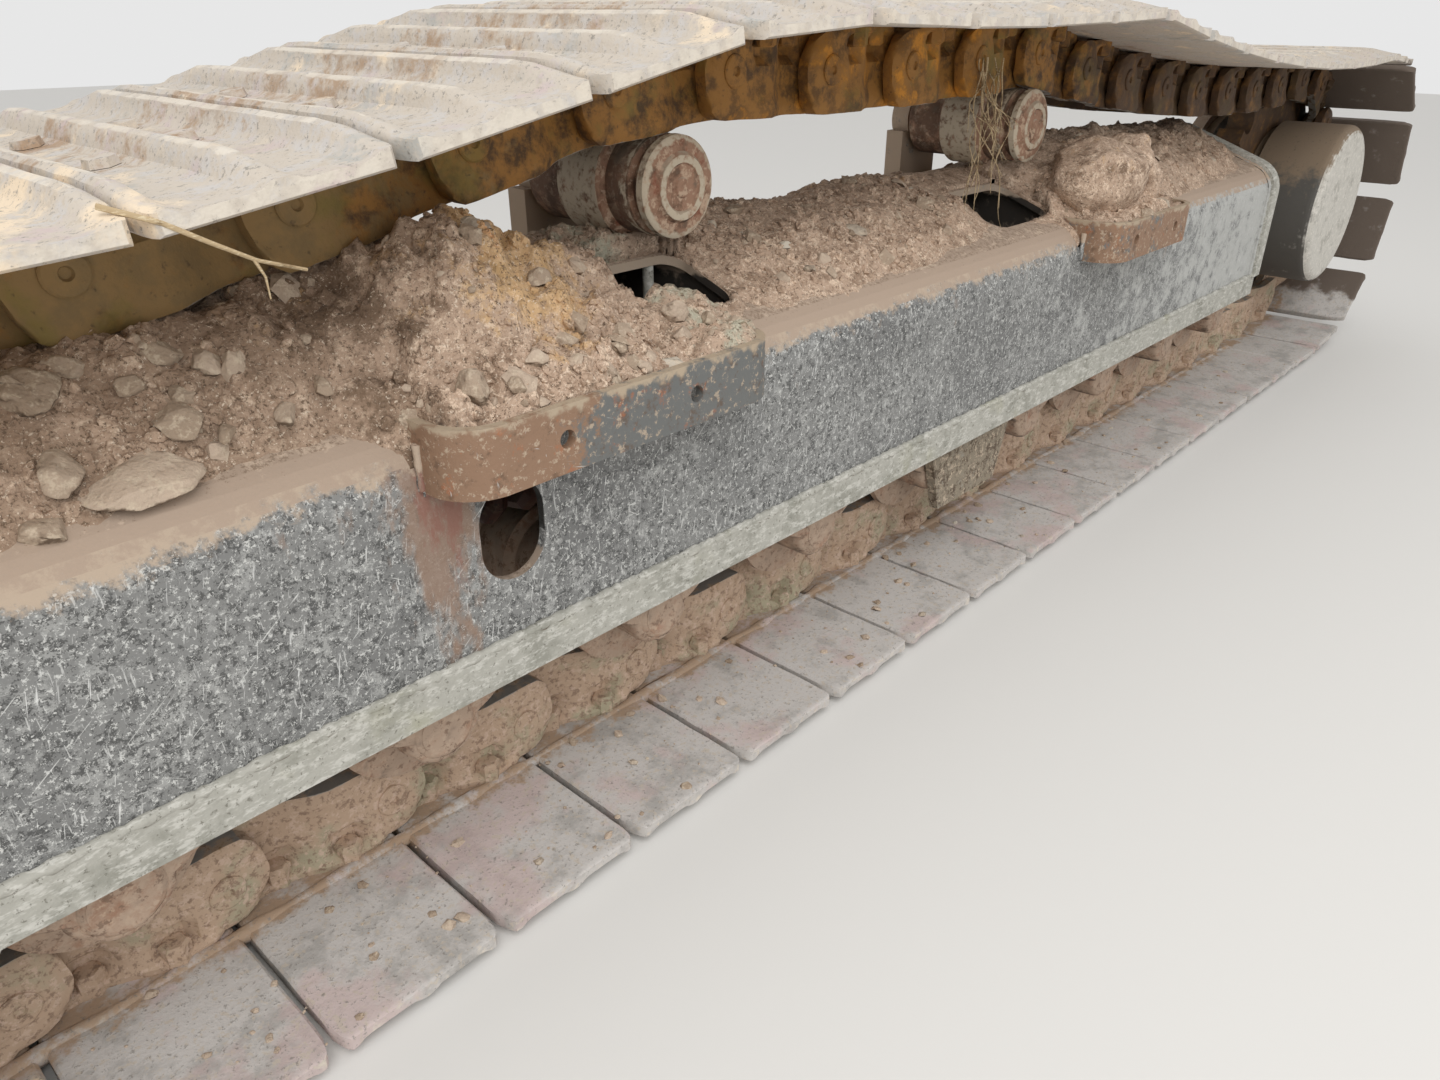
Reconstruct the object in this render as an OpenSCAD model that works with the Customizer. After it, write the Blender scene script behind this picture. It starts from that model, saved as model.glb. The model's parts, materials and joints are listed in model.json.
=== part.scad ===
/* [Track chain] */
// Distance between two track pins
pitch = 190; // [188:0.5:192]
// Number of links in the loop
link_count = 49; // [48:1:50]
// Width of a track shoe
shoe_w = 600; // [500:10:700]
// Gap between neighbouring shoes
shoe_gap = 8; // [6:1:12]
// Thickness of the shoe plate
shoe_t = 11; // [9:1:14]
// Height of a grouser above the shoe plate
grouser_h = 18; // [12:1:30]
// Width of a grouser at its root
grouser_w = 14; // [10:1:20]
// Height from the pin to the shoe's seat
pin_to_shoe = 51; // [48:1:56]
// Height from the pin to the rail
pin_to_rail = 54; // [50:1:58]
// Thickness of a link plate
link_t = 25; // [20:1:28]
// Half distance between the two inner link faces
link_in_y = 46; // [44:1:50]
// Side gap between two links at a pin
link_side_gap = 0.6; // [0.4:0.1:2]
// How far a link reaches past its pins
link_over = 34; // [30:1:38]
// Length of the link's foot on the shoe
link_foot = 154; // [130:2:160]
// Radius of a bushing
bushing_r = 29.5; // [26:0.5:31]
// Gap between a bushing's end and the link
bushing_gap = 0.3; // [0.2:0.1:0.8]

/* [Wheels] */
// Number of sprocket teeth, two to each link
tooth_count = 21; // [21:2:23]
// Play of a bushing in its tooth gap
tooth_play = 1.5; // [1:0.5:4]
// Reach of a tooth beyond the pin circle
tooth_reach = 8; // [4:1:12]
// Width of the sprocket's teeth
sprocket_w = 66; // [56:1:76]
// Bore of the sprocket
sprocket_bore_r = 190; // [180:1:200]
// Length of chain on the ground between sprocket axis and last pin
pin_lead = 70; // [40:5:90]
// Radius of the pin circle on the idler
idler_pin_r = 322; // [316:1:330]
// Running gap between the idler and the links
idler_gap = 5; // [5:0.5:8]
// Height of the idler's middle flange over its treads
idler_flange_h = 24; // [16:1:30]
// Width of the idler's middle flange
idler_flange_w = 78; // [70:1:80]
// Width of the idler over its treads
idler_w = 210; // [200:2:216]
// Radius of the idler shaft
idler_shaft_r = 42; // [36:1:48]
// Running gap of the idler on its shaft
idler_bore_gap = 0.1; // [0.05:0.01:0.1]
// Number of track rollers
roller_count = 9; // [7:1:9]
// Distance between track rollers
roller_step = 320; // [300:5:325]
// Distance of the last track roller ahead of the sprocket axis
roller_last = 650; // [640:5:700]
// Tread radius of a track roller
roller_r = 78; // [72:1:82]
// Flange height of a track roller
roller_flange_h = 14; // [10:1:18]
// Radius of a track roller's shaft
roller_shaft_r = 30; // [26:1:34]
// Tread radius of a carrier roller
carrier_r = 58; // [52:1:62]
// Flange height of a carrier roller
carrier_flange_h = 10; // [6:1:14]
// Half length of a carrier roller
carrier_half_w = 105; // [100:1:110]
// Radius of a carrier roller's shaft
carrier_shaft_r = 24; // [20:1:28]
// Gap between a roller and the rail it touches
rail_gap = 0.3; // [0.2:0.1:1]

/* [Top strand] */
// Distance of the rear carrier roller ahead of the sprocket axis
carrier_2_ahead = 1600; // [1560:10:1640]
// Distance of the front carrier roller ahead of the sprocket axis
carrier_1_ahead = 2450; // [2410:10:2490]
// Height of the upper strand's pins over the carrier rollers, above the pins on the ground
top_pin_up = 743; // [733:1:748]
// Slope of the chain as it leaves the idler
idler_slope = 0.2; // [0.15:0.01:0.22]
// Slope of the chain in front of the front carrier roller
front_slope = 0.18; // [0.14:0.01:0.2]
// Slope of the chain beside the carrier rollers in the middle span
middle_slope = 0.05; // [0.02:0.01:0.08]
// Slope of the chain behind the rear carrier roller
rear_slope = 0.18; // [0.12:0.01:0.2]
// Slope of the chain as it meets the sprocket
sprocket_slope = 0.056; // [0.02:0.002:0.08]

/* [Side frame] */
// Half width of the frame over its webs
web_y = 228; // [222:1:234]
// Thickness of the webs and roof plates
plate_t = 10; // [8:1:14]
// Height of the bottom rails' underside above the pins on the ground
rail_up = 186; // [179:1:193]
// Height of a bottom rail's section
rail_h = 45; // [40:1:50]
// Width of a bottom rail's section
rail_w = 94; // [88:1:100]
// How far a bottom rail stands proud of its web
rail_proud = 6; // [2:1:8]
// Length of a roof plate's upright leg below its bend
roof_leg = 12; // [8:1:30]
// Height above the ground pins at which wall and roof would meet in a sharp corner
eaves_up = 466; // [458:1:473]
// Bend radius between wall and roof
bend_r = 60; // [40:2:80]
// Height of the ridge above the ground pins
ridge_up = 549; // [533:1:553]
// Width of the flat ridge
ridge_w = 40; // [30:2:60]
// Distance of the frame's rear end ahead of the sprocket axis
frame_rear = 600; // [580:5:620]
// Distance of the frame's closed front end ahead of the sprocket axis
frame_front = 3300; // [3250:10:3320]
// Length of the front arms ahead of the idler axis
arm_reach = 90; // [60:5:110]
// Half distance between the front arms at the idler
arm_gap_y = 120; // [116:1:126]
// Width of the rim round the frame's rear end
end_collar_w = 26; // [16:1:60]
// Height of the rim over the frame's skin
end_collar_h = 12; // [6:1:16]
// Thickness of the bulkheads
rib_t = 12; // [8:1:16]
// Metal left above and below a bulkhead's hole, from the web's edges
rib_hole_edge = 15; // [12:1:24]
// Width of the oval hole in the outer web
hand_hole_w = 77; // [70:1:84]
// Height of the oval hole in the outer web
hand_hole_h = 105; // [90:1:108]
// Metal left between the oval hole and the web's upper edge
hand_hole_edge = 9; // [6:1:16]
// Distance of the oval hole ahead of the sprocket axis
hand_hole_ahead = 2811; // [2780:1:2840]
// Length of a roof window
window_l = 180; // [150:5:220]
// Width of a roof window
window_w = 115; // [90:1:125]
// Corner radius of a roof window
window_r = 28; // [20:1:35]

/* [Step brackets] */
// Length of the front step bracket
step_l = 425; // [400:5:460]
// Length of the rear step bracket
step_2_l = 340; // [320:5:400]
// Depth of a step bracket's face beyond the web
step_out = 62; // [56:1:68]
// Height of a step bracket's wall
step_h = 66; // [60:1:80]
// Depth of a step bracket's lower edge below the corner of wall and roof
step_below_eaves = 44; // [38:1:56]
// Thickness of a step bracket's plate
step_t = 10; // [8:1:12]
// Corner radius of a step bracket
step_r = 50; // [30:2:80]
// Distance between the two bolt holes of a step bracket
step_hole_step = 170; // [150:2:190]
// Distance of the bolt holes' middle ahead of their bracket's middle
step_hole_ahead = 10; // [0:1:20]
// Reach of a step bracket's ends over the roof
step_reach = 60; // [50:2:62]
// Radius of a step bracket's bolt holes
step_hole_r = 9; // [7:0.5:11]
// Distance of the front step bracket's middle ahead of the sprocket axis
step_1_ahead = 2690; // [2670:5:2740]
// Distance of the rear step bracket's middle ahead of the sprocket axis
step_2_ahead = 1435; // [1420:5:1500]

/* [Mounting pads] */
// Distance of the front pad's middle ahead of the sprocket axis
pad_1_ahead = 2600; // [2550:10:2650]
// Distance of the rear pad's middle ahead of the sprocket axis
pad_2_ahead = 1150; // [1100:10:1200]
// Length of a pad's flange
pad_l = 440; // [400:10:480]
// Height of a pad's flange
pad_h = 230; // [220:5:240]
// Thickness of a pad's flange
pad_t = 25; // [20:1:30]
// Distance between a pad's holes along the frame
pad_hole_x = 350; // [300:10:360]
// Distance between a pad's holes in height
pad_hole_z = 150; // [140:5:160]
// Radius of a pad's holes
pad_hole_r = 13; // [10:0.5:15]

/* [Final drive] */
// Radius of the final drive's cover
drive_r = 208; // [200:1:212]
// Distance of the cover's outer face from the chain's middle
drive_out_y = 240; // [230:1:250]
// Rounding of the cover's edge
drive_edge_r = 26; // [15:1:35]
// Radius of the travel motor
motor_r = 105; // [95:1:120]
// Distance of the travel motor's end from the chain's middle
motor_end_y = 288; // [270:1:296]
// Thickness of the drive's mounting plate
mount_plate_t = 35; // [30:1:40]
// Radius of the drive's mounting plate
mount_plate_r = 236; // [230:1:240]

/* [Recoil unit] */
// Radius of the recoil spring over its wire
spring_r = 78; // [70:1:84]
// Diameter of the spring wire
spring_wire = 28; // [24:1:30]
// Number of turns of the recoil spring
spring_turns = 9; // [7:1:10]
// Length of the recoil spring
spring_l = 520; // [480:10:540]
// Radius of the tension cylinder
cylinder_r = 44; // [40:1:48]
// Half height of an idler block
block_h = 55; // [50:1:60]
// Width of the slides that guide the idler blocks
slide_w = 70; // [60:1:76]
// Thickness of those slides
slide_t = 28; // [20:1:34]
// Height of the idler yoke's arms
yoke_arm_h = 80; // [60:2:100]
// Height of the idler yoke's back
yoke_h = 100; // [80:2:110]

/* [Hidden] */
$fn = 48;

seat = 0.3;
pin_to_tip = pin_to_shoe + shoe_t + grouser_h;
ground_pin_z = pin_to_tip;
top_pin_z = ground_pin_z + top_pin_up;
rail_z = ground_pin_z + rail_up;
eaves_z = ground_pin_z + eaves_up;
ridge_z = ground_pin_z + ridge_up;
step_z = eaves_z - step_below_eaves;
link_turn = 360 * 2 / tooth_count;
sprocket_pin_r = pitch / (2 * sin(link_turn / 2));
sprocket_z = ground_pin_z + sprocket_pin_r;
idler_z = ground_pin_z + idler_pin_r;

// Chain path: the pins' closed line, with x = 0 at the sprocket axis and the idler ahead at -x
function cubic(p, slope_p, q, slope_q, steps) =
    let (l = q[0] - p[0])
    [for (i = [1 : steps])
        let (u = i / steps, u2 = u * u, u3 = u2 * u)
        [p[0] + l * u,
            (2 * u3 - 3 * u2 + 1) * p[1] + (u3 - 2 * u2 + u) * l * slope_p
            + (3 * u2 - 2 * u3) * q[1] + (u3 - u2) * l * slope_q]];
function arc(cx, cz, r, from, to, steps) =
    [for (i = [0 : steps])
        let (a = from + (to - from) * i / steps)
        [cx + r * cos(a), cz + r * sin(a)]];
front_top = [-carrier_1_ahead, top_pin_z];
rear_top = [-carrier_2_ahead, top_pin_z];
rear_leave = 90 + atan(sprocket_slope);
front_meet = 90 - atan(idler_slope);
function pin_path(idler_x) =
    let (
        sprocket_arc = arc(0, sprocket_z, sprocket_pin_r, -90, rear_leave, 48),
        idler_arc = arc(idler_x, idler_z, idler_pin_r, front_meet, 270, 48),
        rear_span = cubic(sprocket_arc[48], sprocket_slope, rear_top, -rear_slope, 16),
        middle_span = cubic(rear_top, middle_slope, front_top, -middle_slope, 8),
        front_span = cubic(front_top, front_slope, idler_arc[0], -idler_slope, 16)
    )
    concat([[-pin_lead, ground_pin_z]], sprocket_arc, rear_span, middle_span, front_span,
        idler_arc, [[-pin_lead - pitch / 4, ground_pin_z]]);
function first_beyond(path, from, p, i) =
    i >= len(path) ? -1
    : norm(path[i] - p) >= pitch ? i
    : first_beyond(path, from, p, i + 1);
function meet(a, b, p) =
    let (
        d = b - a,
        f = a - p,
        qa = d * d,
        qb = 2 * (f * d),
        qc = f * f - pitch * pitch,
        u = (-qb + sqrt(max(0, qb * qb - 4 * qa * qc))) / (2 * qa)
    )
    a + d * u;
function walk(path, pins, i) =
    let (
        p = pins[len(pins) - 1],
        j = first_beyond(path, i, p, i)
    )
    j < 0 || len(pins) > link_count + 3 ? pins
    : walk(path, concat(pins, [meet(path[j - 1], path[j], p)]), j);
function pins_for(idler_x) = walk(pin_path(idler_x), [[-pin_lead, ground_pin_z]], 1);
function loop_links(idler_x) =
    let (pins = pins_for(idler_x), last = pins[len(pins) - 1])
    len(pins) - 1 + (-pin_lead - last[0]) / pitch;
function solve_idler(low, high, left) =
    let (middle = (low + high) / 2)
    left == 0 ? middle
    : loop_links(middle) > link_count ? solve_idler(middle, high, left - 1)
    : solve_idler(low, middle, left - 1);
span_guess = (link_count * pitch - PI * (sprocket_pin_r + idler_pin_r)) / 2;
idler_x0 = solve_idler(-span_guess - 150, -span_guess + 150, 20);
raw_pins = pins_for(idler_x0);
pins0 = [for (i = [0 : link_count - 1]) raw_pins[i]];
function pin_after(i) = pins0[(i + 1) % link_count];
function link_angle(i) =
    let (d = pin_after(i) - pins0[i])
    atan2(d[1], d[0]);
function at_link(i, p) =
    let (a = link_angle(i))
    [pins0[i][0] + p[0] * cos(a) - p[1] * sin(a), pins0[i][1] + p[0] * sin(a) + p[1] * cos(a)];
tip_xs = [for (i = [0 : link_count - 1])
    for (x = [grouser_w / 2, pitch - grouser_w / 2])
    at_link(i, [x, -pin_to_tip])[0]];
plate_xs = [for (i = [0 : link_count - 1])
    for (x = [shoe_gap / 2, pitch - shoe_gap / 2])
    at_link(i, [x, -pin_to_shoe - shoe_t])[0]];
x_shift = -(max(concat(tip_xs, plate_xs)) + min(concat(tip_xs, plate_xs))) / 2;
function ahead(d) = x_shift - d;
idler_x = x_shift + idler_x0;
sprocket_x = x_shift;

// Places that follow from the chain
function rail_over(d, r) =
    min([for (i = [0 : link_count - 1])
        let (
            a = at_link(i, [-link_over, pin_to_rail]),
            b = at_link(i, [pitch + link_over, pin_to_rail]),
            lean = link_angle(i)
        )
        if (pins0[i][1] > idler_z + idler_pin_r / 2
            && min(a[0], b[0]) - r / 4 < -d && max(a[0], b[0]) + r / 4 > -d)
        a[1] + (b[1] - a[1]) * (-d - a[0]) / (b[0] - a[0]) - (r + rail_gap) / abs(cos(lean))]);
carrier_ahead = [carrier_1_ahead, carrier_2_ahead];
carrier_z = [for (d = carrier_ahead) rail_over(d, carrier_r)];
roller_z = ground_pin_z + pin_to_rail + rail_gap + roller_r;
idler_tread_r = sqrt(idler_pin_r * idler_pin_r - pitch * pitch / 4) - pin_to_rail - idler_gap;
link_out_y = link_in_y + 2 * link_t + link_side_gap;

// Frame section, as outer skin points from the outer wall over the ridge to the inner wall
ridge_y = 0;
slope_out = atan2(ridge_z - eaves_z, web_y + ridge_y);
slope_in = atan2(ridge_z - eaves_z, web_y - ridge_y - ridge_w);
function bend_drop(slope) = bend_r * tan((90 - slope) / 2);
web_top_z = eaves_z - bend_drop(min(slope_out, slope_in)) - roof_leg;
function eaves_bend(slope) =
    let (t = bend_drop(slope))
    [for (i = [0 : 6])
        let (a = 180 - (90 - slope) * i / 6)
        [-web_y + bend_r + bend_r * cos(a), eaves_z - t + bend_r * sin(a)]];
function mirror_points(points) = [for (p = points) [-p[0], p[1]]];
function left_normal(a, b) = let (d = b - a) [-d[1], d[0]] / norm(d);
function skin_back(points, t) =
    [for (i = [0 : len(points) - 1])
        let (
            n1 = left_normal(points[max(0, i - 1)], points[max(1, i)]),
            n2 = left_normal(points[min(len(points) - 2, i)], points[min(len(points) - 1, i + 1)]),
            m = (n1 + n2) / norm(n1 + n2)
        )
        points[i] - m * t / (m * n1)];
function reversed(points) = [for (i = [len(points) - 1 : -1 : 0]) points[i]];
function plate_outline(points, t) = concat(skin_back(points, t), reversed(points));
outer_roof_line = concat([[-web_y, web_top_z]], eaves_bend(slope_out), [[ridge_y, ridge_z]]);
inner_roof_line = mirror_points(concat([[-web_y, web_top_z]], eaves_bend(slope_in),
    [[-ridge_y - ridge_w, ridge_z]]));
function on_slope(y) = ridge_z - (ridge_y - y) * tan(slope_out);
outer_arm_line = concat([[-web_y, web_top_z]], eaves_bend(slope_out),
    [[-arm_gap_y, on_slope(-arm_gap_y)]]);
function section(grow) = concat([[web_y + grow, rail_z + rail_h]],
    mirror_points(skin_back(mirror_points(inner_roof_line), -grow)),
    reversed(skin_back(outer_roof_line, -grow)), [[-web_y - grow, rail_z + rail_h]]);
rail_foot_y = web_y + rail_proud;
section_line = concat([[-web_y, rail_z + rail_h], [-rail_foot_y, rail_z + rail_h],
    [-rail_foot_y, rail_z], [rail_foot_y, rail_z], [rail_foot_y, rail_z + rail_h]], section(0));

// Extrudes a (y, z) outline along x between two distances ahead of the sprocket axis
module along(from, to) {
    translate([ahead(max(from, to)), 0, 0])
        rotate([90, 0, 90])
            linear_extrude(abs(to - from))
                children();
}

// Extrudes an (x, z) outline along y between two places
module across(y0, y1) {
    translate([0, max(y0, y1), 0])
        rotate([90, 0, 0])
            linear_extrude(abs(y1 - y0))
                children();
}

// A cylinder on an axis along y
module round_y(r, y0, y1) {
    translate([0, max(y0, y1), 0])
        rotate([90, 0, 0])
            cylinder(r = r, h = abs(y1 - y0));
}

// Turns an outline of (radius, y) points round an axis along y
module turned(points) {
    rotate([-90, 0, 0])
        rotate_extrude()
            polygon(points);
}

arm_front = -idler_x0 + arm_reach;

module web(side) {
    color("dimgray")
        difference() {
            along(frame_rear, arm_front)
                polygon([
                    [side * web_y, rail_z + rail_h], [side * (web_y - plate_t), rail_z + rail_h],
                    [side * (web_y - plate_t), web_top_z], [side * web_y, web_top_z]]);
            if (side < 0) hand_hole();
        }
}

module hand_hole() {
    r = hand_hole_w / 2;
    mid_z = web_top_z - hand_hole_edge - hand_hole_h / 2;
    translate([ahead(hand_hole_ahead), 0, mid_z])
        for (s = [-1, 1])
            translate([0, 0, s * (hand_hole_h / 2 - r)])
                round_y(r, -web_y - 1, -web_y + plate_t + 1);
    translate([ahead(hand_hole_ahead) - r, -web_y - 1, mid_z - hand_hole_h / 2 + r])
        cube([hand_hole_w, plate_t + 2, hand_hole_h - hand_hole_w]);
}

module outer_web() { web(-1); }
module inner_web() { web(1); }

window_ahead = [2500, 1690];
window_y = -164;

module rounded_bar(l, w, r, h) {
    for (x = [r, l - r])
        for (y = [r, w - r])
            translate([x, y, 0]) cylinder(r = r, h = h);
    translate([r, 0, 0]) cube([l - 2 * r, w, h]);
    translate([0, r, 0]) cube([l, w - 2 * r, h]);
}

module outer_roof() {
    color("rosybrown")
        difference() {
            union() {
                along(frame_rear, frame_front)
                    polygon(plate_outline(outer_roof_line, plate_t));
                along(frame_front, arm_front)
                    polygon(plate_outline(outer_arm_line, plate_t));
            }
            for (d = window_ahead)
                translate([ahead(d) - window_l / 2, window_y, eaves_z - bend_r])
                    rounded_bar(window_l, window_w, window_r, ridge_z - eaves_z + 2 * bend_r);
        }
}

module inner_roof() {
    arm_line = concat([[-web_y, web_top_z]], eaves_bend(slope_in),
        [[-arm_gap_y, ridge_z - (arm_gap_y - ridge_w - ridge_y) * tan(slope_in)]]);
    roof_line = mirror_points(inner_roof_line);
    color("rosybrown")
        mirror([0, 1, 0]) {
            along(frame_rear, frame_front)
                polygon(plate_outline(roof_line, plate_t));
            along(frame_front, arm_front)
                polygon(plate_outline(arm_line, plate_t));
        }
}

module ridge_plate() {
    y1 = ridge_y + ridge_w;
    color("rosybrown")
        along(frame_rear, frame_front)
            polygon([
                [ridge_y, ridge_z],
                [ridge_y + plate_t * sin(slope_out), ridge_z - plate_t * cos(slope_out)],
                [y1 - plate_t * sin(slope_in), ridge_z - plate_t * cos(slope_in)],
                [y1, ridge_z]]);
}

module rail(side) {
    color("lightgray")
        along(frame_rear, frame_front)
            polygon([
                [side * (web_y + rail_proud), rail_z],
                [side * (web_y + rail_proud), rail_z + rail_h],
                [side * (web_y + rail_proud - rail_w), rail_z + rail_h],
                [side * (web_y + rail_proud - rail_w), rail_z]]);
}

module outer_rail() { rail(-1); }
module inner_rail() { rail(1); }

rib_ahead = [700, 1150, 1580, 2050];
recoil_stop_ahead = 2390;

module frame_ribs() {
    color("dimgray") {
        for (d = rib_ahead)
            along(d - rib_t / 2, d + rib_t / 2)
                difference() {
                    polygon(section(-plate_t));
                    translate([0, (rail_z + rail_h + web_top_z) / 2])
                        circle(r = (web_top_z - rail_z - rail_h) / 2 - rib_hole_edge);
                }
        along(recoil_stop_ahead - rib_t, recoil_stop_ahead + rib_t)
            polygon(section(-plate_t));
        along(frame_front - rib_t, frame_front)
            difference() {
                polygon(section(-plate_t));
                translate([0, idler_z])
                    circle(r = cylinder_r + 36);
            }
    }
}

module end_collar() {
    color("gray")
        union() {
            along(frame_rear, frame_rear + end_collar_w)
                difference() {
                    polygon(section(end_collar_h));
                    polygon(section(0));
                }
            along(frame_rear - rib_t, frame_rear)
                polygon(section(end_collar_h));
        }
}

mount_in_y = 115;
mount_neck_h = 110;

module drive_mount() {
    color("gray")
        across(mount_in_y, mount_in_y + mount_plate_t)
            difference() {
                union() {
                    translate([sprocket_x, sprocket_z]) circle(r = mount_plate_r);
                    polygon([
                        [ahead(frame_rear - rib_t), sprocket_z - mount_neck_h],
                        [sprocket_x - mount_plate_r * cos(40), sprocket_z - mount_plate_r * sin(40)],
                        [sprocket_x - mount_plate_r * cos(40), sprocket_z + mount_plate_r * sin(40)],
                        [ahead(frame_rear - rib_t), sprocket_z + mount_neck_h]]);
                }
                translate([sprocket_x, sprocket_z]) circle(r = motor_r + 8);
            }
}

module pad(d) {
    z0 = (rail_z + rail_h + web_top_z) / 2;
    neck_l = pad_l - 90;
    neck_h = pad_h - 60;
    color("gray")
        translate([ahead(d), 0, z0])
            difference() {
                union() {
                    translate([-pad_l / 2, shoe_w / 2 - pad_t, -pad_h / 2])
                        cube([pad_l, pad_t, pad_h]);
                    translate([-neck_l / 2, web_y, -neck_h / 2])
                        cube([neck_l, shoe_w / 2 - pad_t - web_y, neck_h]);
                }
                for (x = [-1, 1])
                    for (z = [-1, 1])
                        translate([x * pad_hole_x / 2, 0, z * pad_hole_z / 2])
                            round_y(pad_hole_r, web_y, shoe_w / 2 + 1);
            }
}

module pad_front() { pad(pad_1_ahead); }
module pad_rear() { pad(pad_2_ahead); }

module step_bracket(d, l) {
    depth = step_out + step_reach;
    color("saddlebrown")
        translate([ahead(d) - l / 2, -web_y - step_out, step_z])
            difference() {
                rounded_bar(l, depth + step_r, step_r, step_h);
                translate([step_t, step_t, -1])
                    rounded_bar(l - 2 * step_t, depth + step_r, step_r - step_t, step_h + 2);
                translate([-1, depth, -1])
                    cube([l + 2, depth + step_r, step_h + 2]);
                for (x = [-1, 1])
                    translate([l / 2 - step_hole_ahead + x * step_hole_step / 2, 0, step_h / 2])
                        round_y(step_hole_r, -1, step_t + 1);
                translate([-ahead(d) + l / 2, web_y + step_out, -step_z])
                    along(d - l, d + l)
                        polygon(section_line);
            }
}

module step_bracket_front() { step_bracket(step_1_ahead, step_l); }
module step_bracket_rear() { step_bracket(step_2_ahead, step_2_l); }

guide_t = 16;
guide_low_z = ground_pin_z + 63;
front_guide_l = 250;
front_guide_slant = 95;
front_guide_r = 30;

module front_guides() {
    color("lightgray")
        for (side = [-1, 1])
            translate([ahead(frame_front) - front_guide_l, 0, 0])
                across(side * (web_y + rail_proud), side * (web_y + rail_proud - guide_t))
                    difference() {
                        polygon([
                            [0, guide_low_z], [front_guide_l - front_guide_slant, guide_low_z],
                            [front_guide_l, rail_z],
                            [front_guide_l, rail_z + rail_h], [0, rail_z + rail_h]]);
                        difference() {
                            translate([-1, guide_low_z - 1])
                                square([front_guide_r + 1, front_guide_r + 1]);
                            translate([front_guide_r, guide_low_z + front_guide_r])
                                circle(r = front_guide_r);
                        }
                    }
}

post_in_y = carrier_half_w + 12;
post_t = 34;
post_w = 110;

module carrier_post(i) {
    z0 = carrier_z[i];
    x0 = ahead(carrier_ahead[i]);
    color("dimgray")
        difference() {
            union() {
                translate([x0, 0, z0]) round_y(carrier_shaft_r + 18, post_in_y, post_in_y + post_t);
                translate([x0 - post_w / 2, post_in_y, ridge_z - 110])
                    cube([post_w, post_t, z0 - ridge_z + 90]);
            }
            translate([x0, 0, z0]) round_y(carrier_shaft_r + seat, post_in_y - 1, post_in_y + post_t + 1);
            along(carrier_ahead[i] - post_w, carrier_ahead[i] + post_w)
                polygon(section_line);
        }
}

module carrier_post_1() { carrier_post(0); }
module carrier_post_2() { carrier_post(1); }

module carrier_roller(i) {
    flange_y = link_in_y - 8;
    color("peru")
        translate([ahead(carrier_ahead[i]), 0, carrier_z[i]])
            turned([
                [0, -carrier_half_w - 6], [carrier_r - 20, -carrier_half_w - 6],
                [carrier_r - 16, -carrier_half_w], [carrier_r - 2, -carrier_half_w],
                [carrier_r, -carrier_half_w + 2], [carrier_r, -carrier_half_w + 14],
                [carrier_r - 8, -carrier_half_w + 17], [carrier_r - 8, -carrier_half_w + 25],
                [carrier_r, -carrier_half_w + 28], [carrier_r, -flange_y],
                [carrier_r + carrier_flange_h, -flange_y + 4],
                [carrier_r + carrier_flange_h, flange_y - 4], [carrier_r, flange_y],
                [carrier_r, carrier_half_w], [carrier_shaft_r, carrier_half_w],
                [carrier_shaft_r, post_in_y + post_t], [0, post_in_y + post_t]]);
}

module carrier_roller_1() { carrier_roller(0); }
module carrier_roller_2() { carrier_roller(1); }

roller_flange_y = link_out_y + 5;
collar_in_y = roller_flange_y + 24;
collar_w = 62;
collar_l = 165;
collar_foot_h = 28;
collar_boss_r = 46;
function collar_outline() =
    let (
        top = rail_z - roller_z,
        flank = atan2(top - collar_foot_h, collar_l / 2) - acos(collar_boss_r / norm([collar_l / 2,
            top - collar_foot_h]))
    )
    concat(
        [[collar_l / 2, top], [-collar_l / 2, top], [-collar_l / 2, top - collar_foot_h]],
        [for (i = [0 : 8])
            let (a = 180 - flank + (180 + 2 * flank) * i / 8)
            collar_boss_r * [cos(a), sin(a)]],
        [[collar_l / 2, top - collar_foot_h]]);

function roller_ahead(i) = roller_last + roller_step * (roller_count - i);

module track_roller(i) {
    rim = roller_r + roller_flange_h;
    half = [
        [rim, roller_flange_y + 14], [rim, roller_flange_y + 3], [roller_r, roller_flange_y],
        [roller_r, link_in_y - 4], [roller_r - 14, link_in_y - 12]];
    color("sienna")
        if (i <= roller_count)
            translate([ahead(roller_ahead(i)), 0, roller_z])
                turned(concat(
                    [[0, collar_in_y + collar_w], [roller_shaft_r, collar_in_y + collar_w],
                        [roller_shaft_r, collar_in_y - 4], [roller_r - 22, collar_in_y - 4]],
                    half, [for (p = reversed(half)) [p[0], -p[1]]],
                    [[roller_r - 22, -collar_in_y + 4], [roller_shaft_r, -collar_in_y + 4],
                        [roller_shaft_r, -collar_in_y - collar_w], [0, -collar_in_y - collar_w]]));
}

module track_roller_1() { track_roller(1); }
module track_roller_2() { track_roller(2); }
module track_roller_3() { track_roller(3); }
module track_roller_4() { track_roller(4); }
module track_roller_5() { track_roller(5); }
module track_roller_6() { track_roller(6); }
module track_roller_7() { track_roller(7); }
module track_roller_8() { track_roller(8); }
module track_roller_9() { track_roller(9); }

module roller_collars() {
    color("sienna")
        for (i = [1 : roller_count])
            for (side = [-1, 1])
                translate([ahead(roller_ahead(i)), 0, roller_z])
                    difference() {
                        across(side * collar_in_y, side * (collar_in_y + collar_w))
                            polygon(collar_outline());
                        round_y(roller_shaft_r + seat, side * (collar_in_y - 1),
                            side * (collar_in_y + collar_w + 1));
                    }
}

middle_guide_ahead = 1860;
middle_guide_l = 260;
middle_guide_slant = 40;
middle_guide_y = collar_in_y + collar_w + seat;

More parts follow.
